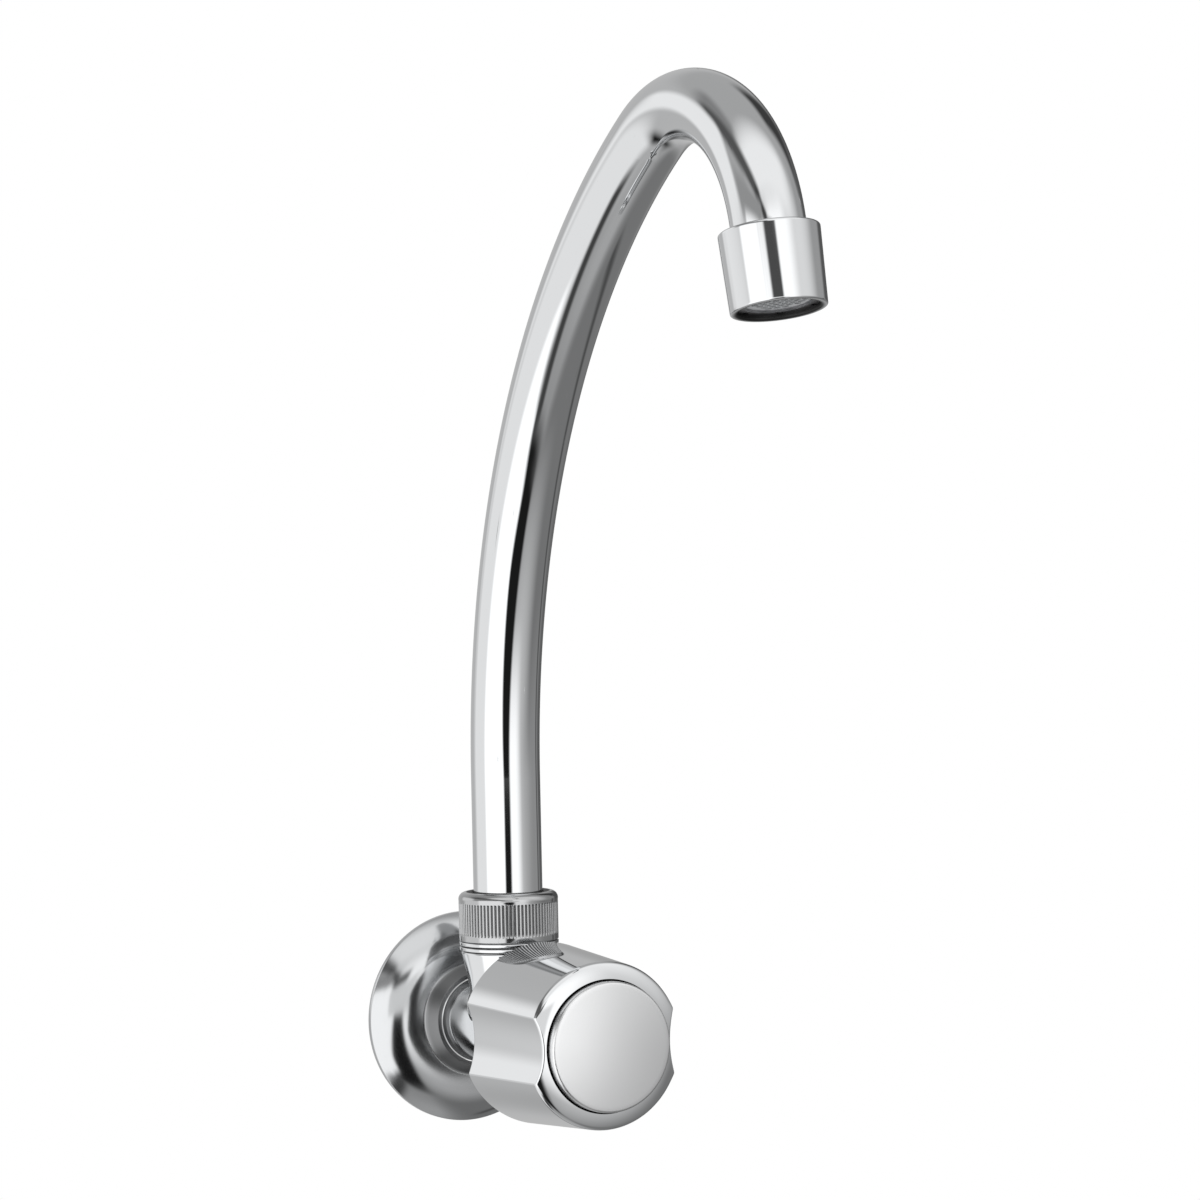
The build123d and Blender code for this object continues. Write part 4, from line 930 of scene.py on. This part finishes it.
def rib(angle):
    """A flat rib from the boss to the wall: a rounded rectangle of (reach, offset) points that
    stands at each of a few radii along the rib's direction."""
    outline = rounded([
        (BOSS_BACK, -RIB_THICKNESS / 2, 0.4),
        (BOSS_BACK, RIB_THICKNESS / 2, 0.4),
        (WEB_BACK + RIB_SINK, RIB_THICKNESS / 2, 0.1),
        (WEB_BACK + RIB_SINK, -RIB_THICKNESS / 2, 0.1),
    ])
    origin, ahead, side, up = INLET
    outward = math.cos(angle) * side + math.sin(angle) * up
    across = math.cos(angle) * up - math.sin(angle) * side
    inner, outer = BOSS_RADIUS - RIB_ROOT, side_radius(WEB_BACK) - KNOB_WALL / 2
    radii = np.concatenate([[inner], np.linspace(inner, outer, RIB_STEPS), [outer]])[:, None, None]
    # The ribs inside the knob are dull, with painted shade.
    return grid_shell(
        radii * outward + outline[:, :1] * ahead + outline[:, 1:] * across, poles=True, shine_and_shade=DULL_SHADED
    )


rib_angles = np.pi / RIB_COUNT + full_turn(RIB_COUNT)
knob_shell = make_piece(
    "knob_casting", "handle", "knob_shell",
    [knob_skin] + [rib(angle) for angle in rib_angles],
)

# %% [markdown]
# The cap presses into the knob's recess and stands proud of it. Its face is a very flat dome, the
# top of a large sphere, and rolls over a small edge into the skirt. That edge is the finest
# highlight of the whole front.

# %% Index cap
CAP_RADIUS = 18.4
CAP_EDGE = 97.6
CAP_DOME = 1.3
CAP_WALL = 1.5
CAP_EDGE_ROUND = 0.9
DOME_RADIUS = (CAP_RADIUS**2 + CAP_DOME**2) / (2 * CAP_DOME)
SKIRT_INNER_RADIUS = CAP_RADIUS - CAP_WALL
UNDER_INSET = 1.0
DOME_ROWS, UNDER_ROWS = 18, 10


def cap_dome(radius):
    """Reach of the dome: its top less the fall of a sphere, R - sqrt(R^2 - r^2)."""
    return CAP_EDGE + CAP_DOME - (DOME_RADIUS - np.sqrt(DOME_RADIUS**2 - radius**2))


dome_radii = np.linspace(0, CAP_RADIUS - 2 * CAP_EDGE_ROUND, DOME_ROWS)
under_radii = np.linspace(SKIRT_INNER_RADIUS - UNDER_INSET, 0, UNDER_ROWS)
cap_section = np.concatenate([
    np.stack([cap_dome(dome_radii), dome_radii], axis=1),
    rounded([
        (cap_dome(dome_radii[-1]), dome_radii[-1], 0),
        (CAP_EDGE, CAP_RADIUS, CAP_EDGE_ROUND),
        (RECESS_SEAT, CAP_RADIUS, 0.3),
        (RECESS_SEAT, SKIRT_INNER_RADIUS, 0.2),
        (cap_dome(SKIRT_INNER_RADIUS) - CAP_WALL, SKIRT_INNER_RADIUS, 0.5),
        (cap_dome(under_radii[0]) - CAP_WALL, under_radii[0], 0),
    ], closed=False)[1:],
    np.stack([cap_dome(under_radii[1:]) - CAP_WALL, under_radii[1:]], axis=1),
])
# Painted shade: the skirt below the knob's ring and the underside get no shine, so they are near
# black.
index_cap = make_piece(
    "cap_face", "handle", "index_cap",
    [turned(INLET, cap_section, poles=True, shine_and_shade=cap_section[:, :1] > KNOB_RING)],
)

# %% [markdown]
# Materials are networks of nodes, and written as plain wiring they are hard to read. So one small
# class stands for the output of a node: a plus or a times on it adds a Math node. Another stands
# for a finish, and its one method adds any node with its settings and its sockets.

# %% Writing shader maths as sums
class Wire:
    """A value that a node puts out. Arithmetic on it adds Math nodes to the same tree."""

    def __init__(self, tree, socket):
        self.tree, self.socket = tree, socket

    def _math(self, operation, *values):
        node = self.tree.nodes.new("ShaderNodeMath")
        node.operation = operation
        for socket, value in zip(node.inputs, values):
            feed(self.tree, socket, value)
        return Wire(self.tree, node.outputs[0])

    def __add__(self, other):
        return self._math("ADD", self, other)

    def __sub__(self, other):
        return self._math("SUBTRACT", self, other)

    def __rsub__(self, other):
        return self._math("SUBTRACT", other, self)

    def __mul__(self, other):
        return self._math("MULTIPLY", self, other)

    def __truediv__(self, other):
        return self._math("DIVIDE", self, other)

    def __abs__(self):
        return self._math("ABSOLUTE", self)

    __radd__, __rmul__ = __add__, __mul__


def feed(tree, socket, value):
    """Links a wire to a socket, or sets the socket to a plain value."""
    if isinstance(value, Wire):
        tree.links.new(value.socket, socket)
    else:
        socket.default_value = value


class Nodes:
    """The nodes of a material or a world."""

    def __init__(self, owner):
        owner.use_nodes = True
        self.owner, self.tree = owner, owner.node_tree
        self.tree.nodes.clear()

    def add(self, kind, settings=None, output=0, **sockets):
        """A node of a kind, its settings first, then its sockets by name (spaces as _)."""
        node = self.tree.nodes.new("ShaderNode" + kind)
        for name, value in (settings or {}).items():
            setattr(node, name, value)
        for name, value in sockets.items():
            key = int(name[1:]) if name[0] == "_" else name.replace("_", " ")
            feed(self.tree, node.inputs[key], value)
        return Wire(self.tree, node.outputs[output]) if node.outputs else None

    def surface(self, share, first, second, roughness, height, depth, metallic=1.0):
        """The finish: the first colour where share is 0 and the second where it is 1, with a
        roughness, and a bump of a height that stands for a depth in metres."""
        colour = self.add("Mix", {"data_type": "RGBA"}, output=2, _0=share, _6=first, _7=second)
        bump = self.add("Bump", Height=height, Distance=depth, Strength=1.0)
        self.add("OutputMaterial", Surface=self.add(
            "BsdfPrincipled", Base_Color=colour, Metallic=metallic, Roughness=roughness, Normal=bump
        ))
        return self.owner


def new_finish(name):
    """A new material's nodes, and the place on the piece that its patterns are drawn from."""
    nodes = Nodes(bpy.data.materials.new(name))
    return nodes, nodes.add("TexCoord", output="Object")


print("shader wiring ready")

# %% [markdown]
# The chrome first, as it covers everything that shows. Plating copies the metal under it, and
# polished brass isn't quite flat: the bump is a slow wave of a hundredth of a millimetre, so a
# reflected edge wanders a little along a tube. The roughness has faint wiped streaks. Where the
# shine stored on the mesh falls to 0, inside the knob and the flange, in the bores and at the
# bottom of grooves, the chrome turns rough and its colour falls to near-black metal: painted shade
# in those hollows. The flange's chrome is darker and softer than the tube's and the nut's is
# darker still, only to come nearer to the greys of the photograph: their darker tints are painted
# shade. The cap is satin, because as a mirror it went black from the right, where it faces the
# dark gap left for the camera, and its tint is paler than the tube's: painted light.

# %% Chrome plate
# Near-black metal: the painted shade of hollows, grooves and insides.
HOLLOW_SHADE_METAL = (0.05, 0.05, 0.05, 1)
DULL_ROUGHNESS = 0.5
WAVE_DEPTH = 0.00001


def chrome(name, tint, gloss, streak):
    """Plating: a tint, its roughness, and how much that varies."""
    nodes, place = new_finish(name)
    # The shine stored on the mesh sets the roughness and paints shade: where it is 0 the colour is
    # near-black metal.
    shine_and_shade = nodes.add("Attribute", {"attribute_name": "shine_and_shade"}, output="Fac")
    smear = nodes.add("TexNoise", Vector=place, Scale=90.0, Detail=4.0, Roughness=0.6)
    slow = nodes.add("TexNoise", Vector=place, Scale=70.0, Detail=1.0)
    polish = (smear - 0.5) * streak + gloss
    roughness = (polish - DULL_ROUGHNESS) * shine_and_shade + DULL_ROUGHNESS
    return nodes.surface(shine_and_shade, HOLLOW_SHADE_METAL, tint, roughness, slow, WAVE_DEPTH)


# The flange's and the nut's darker tints are painted shade; the cap's paler tint is painted light.
polished = chrome("polished chrome", (0.80, 0.81, 0.82, 1), gloss=0.035, streak=0.03)
flange_shaded = chrome("buffed chrome", (0.66, 0.67, 0.68, 1), gloss=0.13, streak=0.04)
knurl_shaded = chrome("knurled chrome", (0.54, 0.545, 0.55, 1), gloss=0.11, streak=0.05)
satin_cap_lightened = chrome("lightened satin chrome", (0.88, 0.885, 0.89, 1), gloss=0.30, streak=0.06)
PLATED = {
    polished: [valve_body, spout_tube, outlet_nozzle, knob_shell],
    flange_shaded: [wall_flange],
    knurl_shaded: [swivel_nut],
    satin_cap_lightened: [index_cap],
}
for finish, pieces in PLATED.items():
    for piece in pieces:
        piece.data.materials.append(finish)
print("chrome on", sum(len(pieces) for pieces in PLATED.values()), "pieces")

# %% [markdown]
# The pieces inside keep the solids of the frame. Turned brass shows the rings that a lathe tool
# leaves, so its noise is squeezed along the axis that it was turned on: it changes fast along the
# axis and slowly round it. Stainless screws, washers and mesh get the same rings, finer.

# %% Turned brass and stainless steel
def turned_metal(name, clean, dull, gloss, squeeze, ring_height):
    """Metal off a lathe: rings in the bump and roughness, and patches of a duller colour."""
    nodes, place = new_finish(name)
    along = nodes.add("Mapping", Vector=place, Scale=squeeze)
    rings = nodes.add("TexNoise", Vector=along, Scale=60.0, Detail=5.0, Roughness=0.7)
    patches = nodes.add("TexNoise", Vector=place, Scale=120.0, Detail=3.0)
    spread = nodes.add("MapRange", Value=patches, From_Min=0.35, From_Max=0.7)
    roughness = rings * 0.16 + spread * 0.08 + gloss
    return nodes.surface(spread, clean, dull, roughness, rings, ring_height)


INLET_TURNED, UPRIGHT_TURNED = (1.0, 40.0, 1.0), (1.0, 1.0, 40.0)
BRASS, DULL_BRASS = (0.72, 0.50, 0.22, 1), (0.48, 0.32, 0.14, 1)
STEEL, DULL_STEEL = (0.58, 0.57, 0.55, 1), (0.44, 0.43, 0.42, 1)
inlet_brass = turned_metal("inlet brass", BRASS, DULL_BRASS, 0.16, INLET_TURNED, 0.00002)
spout_brass = turned_metal("spout brass", BRASS, DULL_BRASS, 0.16, UPRIGHT_TURNED, 0.00002)
steel = turned_metal("stainless steel", STEEL, DULL_STEEL, 0.20, INLET_TURNED, 0.00001)
mesh_steel = turned_metal("screen steel", STEEL, DULL_STEEL, 0.26, UPRIGHT_TURNED, 0.00001)
PLATED_BRASS, DULL_PLATED = (0.42, 0.42, 0.43, 1), (0.26, 0.26, 0.27, 1)
satin = turned_metal("satin plate", PLATED_BRASS, DULL_PLATED, 0.22, UPRIGHT_TURNED, 0.00001)
print("turned metals:", inlet_brass.name, spout_brass.name, steel.name, mesh_steel.name, satin.name)

# %% [markdown]
# Rubber and plastics are moulded, and a mould leaves a fine even grain with slow swells under it.
# What sets them apart is their colour, how sharp their shine is, and how deep the grain goes.

# %% Rubber, acetal and grey plastic
def moulded(name, colour, faded, gloss, grain, depth):
    """Moulded plastic or rubber: grain and slow swells in the bump, cloudy colour, soft shine."""
    nodes, place = new_finish(name)
    pebbles = nodes.add("TexVoronoi", {"feature": "SMOOTH_F1"}, Vector=place, Scale=grain)
    swells = nodes.add("TexNoise", Vector=place, Scale=grain / 12, Detail=3.0)
    height = pebbles * 0.4 + swells
    roughness = swells * 0.14 + pebbles * 0.06 + gloss
    return nodes.surface(swells, colour, faded, roughness, height, depth, metallic=0.0)


rubber = moulded(
    "black rubber", (0.014, 0.014, 0.015, 1), (0.035, 0.034, 0.033, 1), 0.42, 4000.0, 0.00002
)
acetal = moulded(
    "white acetal", (0.80, 0.79, 0.75, 1), (0.70, 0.69, 0.65, 1), 0.30, 3000.0, 0.00001
)
grey_plastic = moulded(
    "grey plastic", (0.44, 0.45, 0.46, 1), (0.36, 0.37, 0.38, 1), 0.34, 3500.0, 0.00001
)
print("moulded:", rubber.name, acetal.name, grey_plastic.name)

# %% [markdown]
# The two discs of the valve are alumina, lapped so flat that they seal on each other. Lapping
# leaves a satin white face with hair-thin curved scratches, made here from a warped wave. The
# gasket is pressed fibre, where flecks lie every way in a red-brown board.

# %% Lapped alumina and pressed fibre
SCRATCH_DEPTH, FLECK_DEPTH = 0.000004, 0.00003


def lapped(name, pale, shadow):
    """Lapped ceramic: scratches from a wave bent by noise, on a nearly even white."""
    nodes, place = new_finish(name)
    scratches = nodes.add(
        "TexWave", output=1, Vector=place, Scale=900.0, Distortion=14.0, Detail=3.0,
    )
    cloud = nodes.add("TexNoise", Vector=place, Scale=200.0, Detail=2.0)
    roughness = scratches * 0.10 + 0.22
    return nodes.surface(cloud, pale, shadow, roughness, scratches, SCRATCH_DEPTH, metallic=0.0)


def pressed(name, board, fleck):
    """Pressed fibre: flecks where a stretched noise peaks, and a dry uneven face."""
    nodes, place = new_finish(name)
    lying = nodes.add("Mapping", Vector=place, Scale=(1.0, 4.0, 1.0), Rotation=(0.0, 0.0, 0.7))
    hairs = nodes.add("TexNoise", Vector=lying, Scale=900.0, Detail=5.0, Roughness=0.7)
    peaks = nodes.add("MapRange", Value=hairs, From_Min=0.5, From_Max=0.62)
    roughness = hairs * 0.2 + 0.65
    return nodes.surface(peaks, board, fleck, roughness, hairs, FLECK_DEPTH, metallic=0.0)


alumina = lapped("lapped alumina", (0.86, 0.85, 0.82, 1), (0.78, 0.77, 0.73, 1))
fibre = pressed("pressed fibre", (0.30, 0.09, 0.05, 1), (0.46, 0.20, 0.12, 1))
print("valve and gasket:", alumina.name, fibre.name)

# %% [markdown]
# Each solid that stays takes the finish of its own material, by name, so that nothing inside is
# left grey when a pose or another angle uncovers it.

# %% Finishes for the solids inside
FINISHES = {
    inlet_brass: ["cartridge_housing", "spindle", "knob_insert"],
    spout_brass: ["spout_collar"],
    satin: ["aerator_housing"],
    steel: ["handle_screw", "screw_washer", "spindle_clip"],
    mesh_steel: ["aerator_screens"],
    rubber: ["seat_seal", "spindle_orings", "spout_orings", "aerator_washer"],
    acetal: ["thrust_washer", "lower_slip_washer", "upper_slip_washer", "stop_ring"],
    grey_plastic: ["aerator_core", "outlet_grid"],
    alumina: ["fixed_disc", "moving_disc"],
    fibre: ["cartridge_gasket"],
}
for finish, names in FINISHES.items():
    for name in names:
        slots = frame["nodes"][name].data.materials
        slots.clear()
        slots.append(finish)
print("finished inside:", sum(len(names) for names in FINISHES.values()))

# %% [markdown]
# The floor is plain and pale and lies well below, since the tap hangs on a wall. Near the tap it
# is a matt floor that takes a soft shadow. Farther out it turns to plain white for the camera, so
# that it has no edge. The chrome doesn't see it: the studio below goes on under the tap.

# %% Floor
FLOOR_DROP = 0.32
FLOOR_SIZE = 8.0
FADE_START, FADE_END = 0.25, 1.1

half = FLOOR_SIZE / 2
corners = [(x * half, y * half, -FLOOR_DROP) for x, y in ((-1, -1), (1, -1), (1, 1), (-1, 1))]
floor_mesh = bpy.data.meshes.new("floor")
floor_mesh.from_pydata(corners, [], [(0, 1, 2, 3)])
floor = new_object("floor", floor_mesh)
floor.visible_glossy = False

paper = Nodes(bpy.data.materials.new("pale floor"))
place = paper.add("TexCoord", output="Object")
flat_place = paper.add("VectorMath", {"operation": "MULTIPLY"}, _0=place, _1=(1.0, 1.0, 0.0))
away = paper.add("VectorMath", {"operation": "LENGTH"}, output=1, _0=flat_place)
fade = paper.add(
    "MapRange", {"interpolation_type": "SMOOTHSTEP"},
    Value=away, From_Min=FADE_START, From_Max=FADE_END,
)
seen = paper.add("LightPath")
white = paper.add("Emission", Color=(1, 1, 1, 1), Strength=1.0)
matt = paper.add("BsdfDiffuse", Color=(0.88, 0.88, 0.88, 1))
paper.add("OutputMaterial", Surface=paper.add("MixShader", _0=fade * seen, _1=matt, _2=white))
floor_mesh.materials.append(paper.owner)
print(f"floor {FLOOR_DROP:.2f} m below the inlet line")

# %% [markdown]
# Chrome has no colour of its own: what shows on it is the studio. So the world is drawn as the
# studio that such a tap is photographed in, a tent of flat panels hung round it. A panel is white
# where a softbox lights it, grey where the light falls off, and black for the gap where the
# camera stands. Each is given by where its middle is, its half width and half height, how soft
# its edge is, and its brightness, and a later panel covers an earlier one. A direction d meets a
# panel where d . side / d . middle and d . up / d . middle are within its half sizes. The panels
# were tried against the reflections in the photograph, a few from a fitted start, and rounded.

# %% The studio's panels
STUDIO = [
    # azimuth, elevation, half width, half height, softness, turn, brightness
    (-20, -89, 34, 34, 10, 0, 0.33),     # table under the tap
    (0, 89, 78, 78, 26, 0, 0.43),        # ceiling
    (180, 0, 75, 34, 16, 0, 0.52),       # wall behind
    (-150, -62, 28, 12, 14, 0, 0.48),    # foot of the cove
    (-118, -24, 30, 34, 16, 0, 0.90),    # cove on the left
    (128, -34, 24, 28, 14, 0, 0.38),     # cove on the right
    (72, -34, 58, 42, 20, 0, 0.20),      # dim wall on the right
    (10, -10, 28, 24, 52, 0, 0.62),      # light that falls on it
    (72, 14, 36, 20, 30, 0, 0.36),       # wall above it
    (40, 24, 26, 18, 34, 0, 0.80),       # light on that wall
    (-110, 47, 26, 9, 14, 0, 0.25),      # shade on the ceiling
    (-10, 58, 48, 22, 26, 0, 1.0),       # light on the ceiling
    (-6, 8, 25, 26, 24, 0, 1.25),        # bright panel in front
    (-26, -22, 15, 27, 8, 0, 0.012),     # gap for the camera
    (-80, -61, 22, 6, 8, 15, 0.06),      # gap under the box
    (-74, -14, 24, 34, 8, 6, 1.3),       # bright box on the left
    (-55, -12, 17, 33, 6, -30, 1.3),     # its slanted end
    (99, -30, 3, 32, 8, 0, 0.08),        # seam on the right
    (-92, 40, 37, 7, 10, 0, 0.10),       # gap on the left
    (-46, 29, 13, 4, 6, -25, 0.06),      # its slanted end
    (-80, 24, 30, 6, 8, 9, 0.33),        # shade under it
    (-140, 15, 20, 12, 10, 18, 0.96),    # window on the left
    (-22, 7, 21, 9, 5, 0, 0.84),         # sill in front
    (-28, 21, 12, 4, 6, 0, 0.08),        # shadow over it
    (118, 33, 13, 18, 14, 0, 0.05),      # gap on the right
    (130, 6, 20, 15, 14, 0, 0.10),       # dark end of the wall behind
]
DARK = 0.012
PLAIN_LIGHT = 0.85
WIDEST = 88        # degrees: a half size stays under 90, where its tan has no end
NEAREST_PLANE = 0.02  # keeps directions behind a panel from dividing by 0

tent = Nodes(bpy.data.worlds.new("studio"))
toward = tent.add("TexCoord", output="Generated")


def along_axis(axis):
    """Dot product of the direction looked at and an axis."""
    return tent.add(
        "VectorMath", {"operation": "DOT_PRODUCT"}, output=1, _0=toward, _1=tuple(axis)
    )


def inside(distance, half_size, softness):
    """1 within a half size, 0 past it, with a soft edge. Both are angles, so they go in as tans."""
    inner = math.tan(math.radians(max(half_size - softness / 2, 0)))
    outer = math.tan(math.radians(min(half_size + softness / 2, WIDEST)))
    return tent.add(
        "MapRange", {"interpolation_type": "SMOOTHSTEP"},
        Value=distance, From_Min=inner, From_Max=outer, To_Min=1.0, To_Max=0.0,
    )


glow = None
for azimuth, elevation, half_width, half_height, softness, turn, brightness in STUDIO:
    side, up, middle = facing_axes(azimuth, elevation, turn)
    ahead = tent.add("Math", {"operation": "MAXIMUM"}, _0=along_axis(middle), _1=NEAREST_PLANE)
    mask = inside(abs(along_axis(side)) / ahead, half_width, softness) * inside(
        abs(along_axis(up)) / ahead, half_height, softness
    )
    glow = mask * (brightness - DARK) + DARK if glow is None else glow + mask * (brightness - glow)

seen = tent.add("LightPath")
mirrored = tent.add("LightPath", output="Is Glossy Ray")
strength = mirrored * (glow - PLAIN_LIGHT) + seen * (1.0 - PLAIN_LIGHT) + PLAIN_LIGHT
sky = tent.add("Background", Color=(1, 1, 1, 1), Strength=strength)
tent.add("OutputWorld", Surface=sky)
bpy.context.scene.world = tent.owner
bpy.context.scene.view_settings.view_transform = "Standard"
print(f"studio of {len(STUDIO)} panels")

# %% [markdown]
# Two large lamps give the pieces that aren't mirrors a soft key light and a weaker fill. The
# chrome already has its softboxes, so the lamps are hidden from it.

# %% Lamps
def lamp(name, place, target, size, power):
    """A square area lamp at a place, turned to face a target."""
    data = bpy.data.lights.new(name, "AREA")
    data.size, data.energy = size, power
    lit = new_object(name, data)
    back = unit(np.array(place, float) - np.array(target, float))
    side = unit(np.cross((0.0, 0.0, 1.0), back))
    stand(lit, (side, np.cross(back, side), back), place)
    lit.visible_glossy = False


MIDDLE = (0.0, -0.08, 0.12)
lamp("key", (-1.1, -1.0, 1.3), MIDDLE, size=0.9, power=9.0)
lamp("fill", (1.3, -0.9, 0.8), MIDDLE, size=1.1, power=4.0)
print("lamps:", [light.name for light in bpy.data.lights])
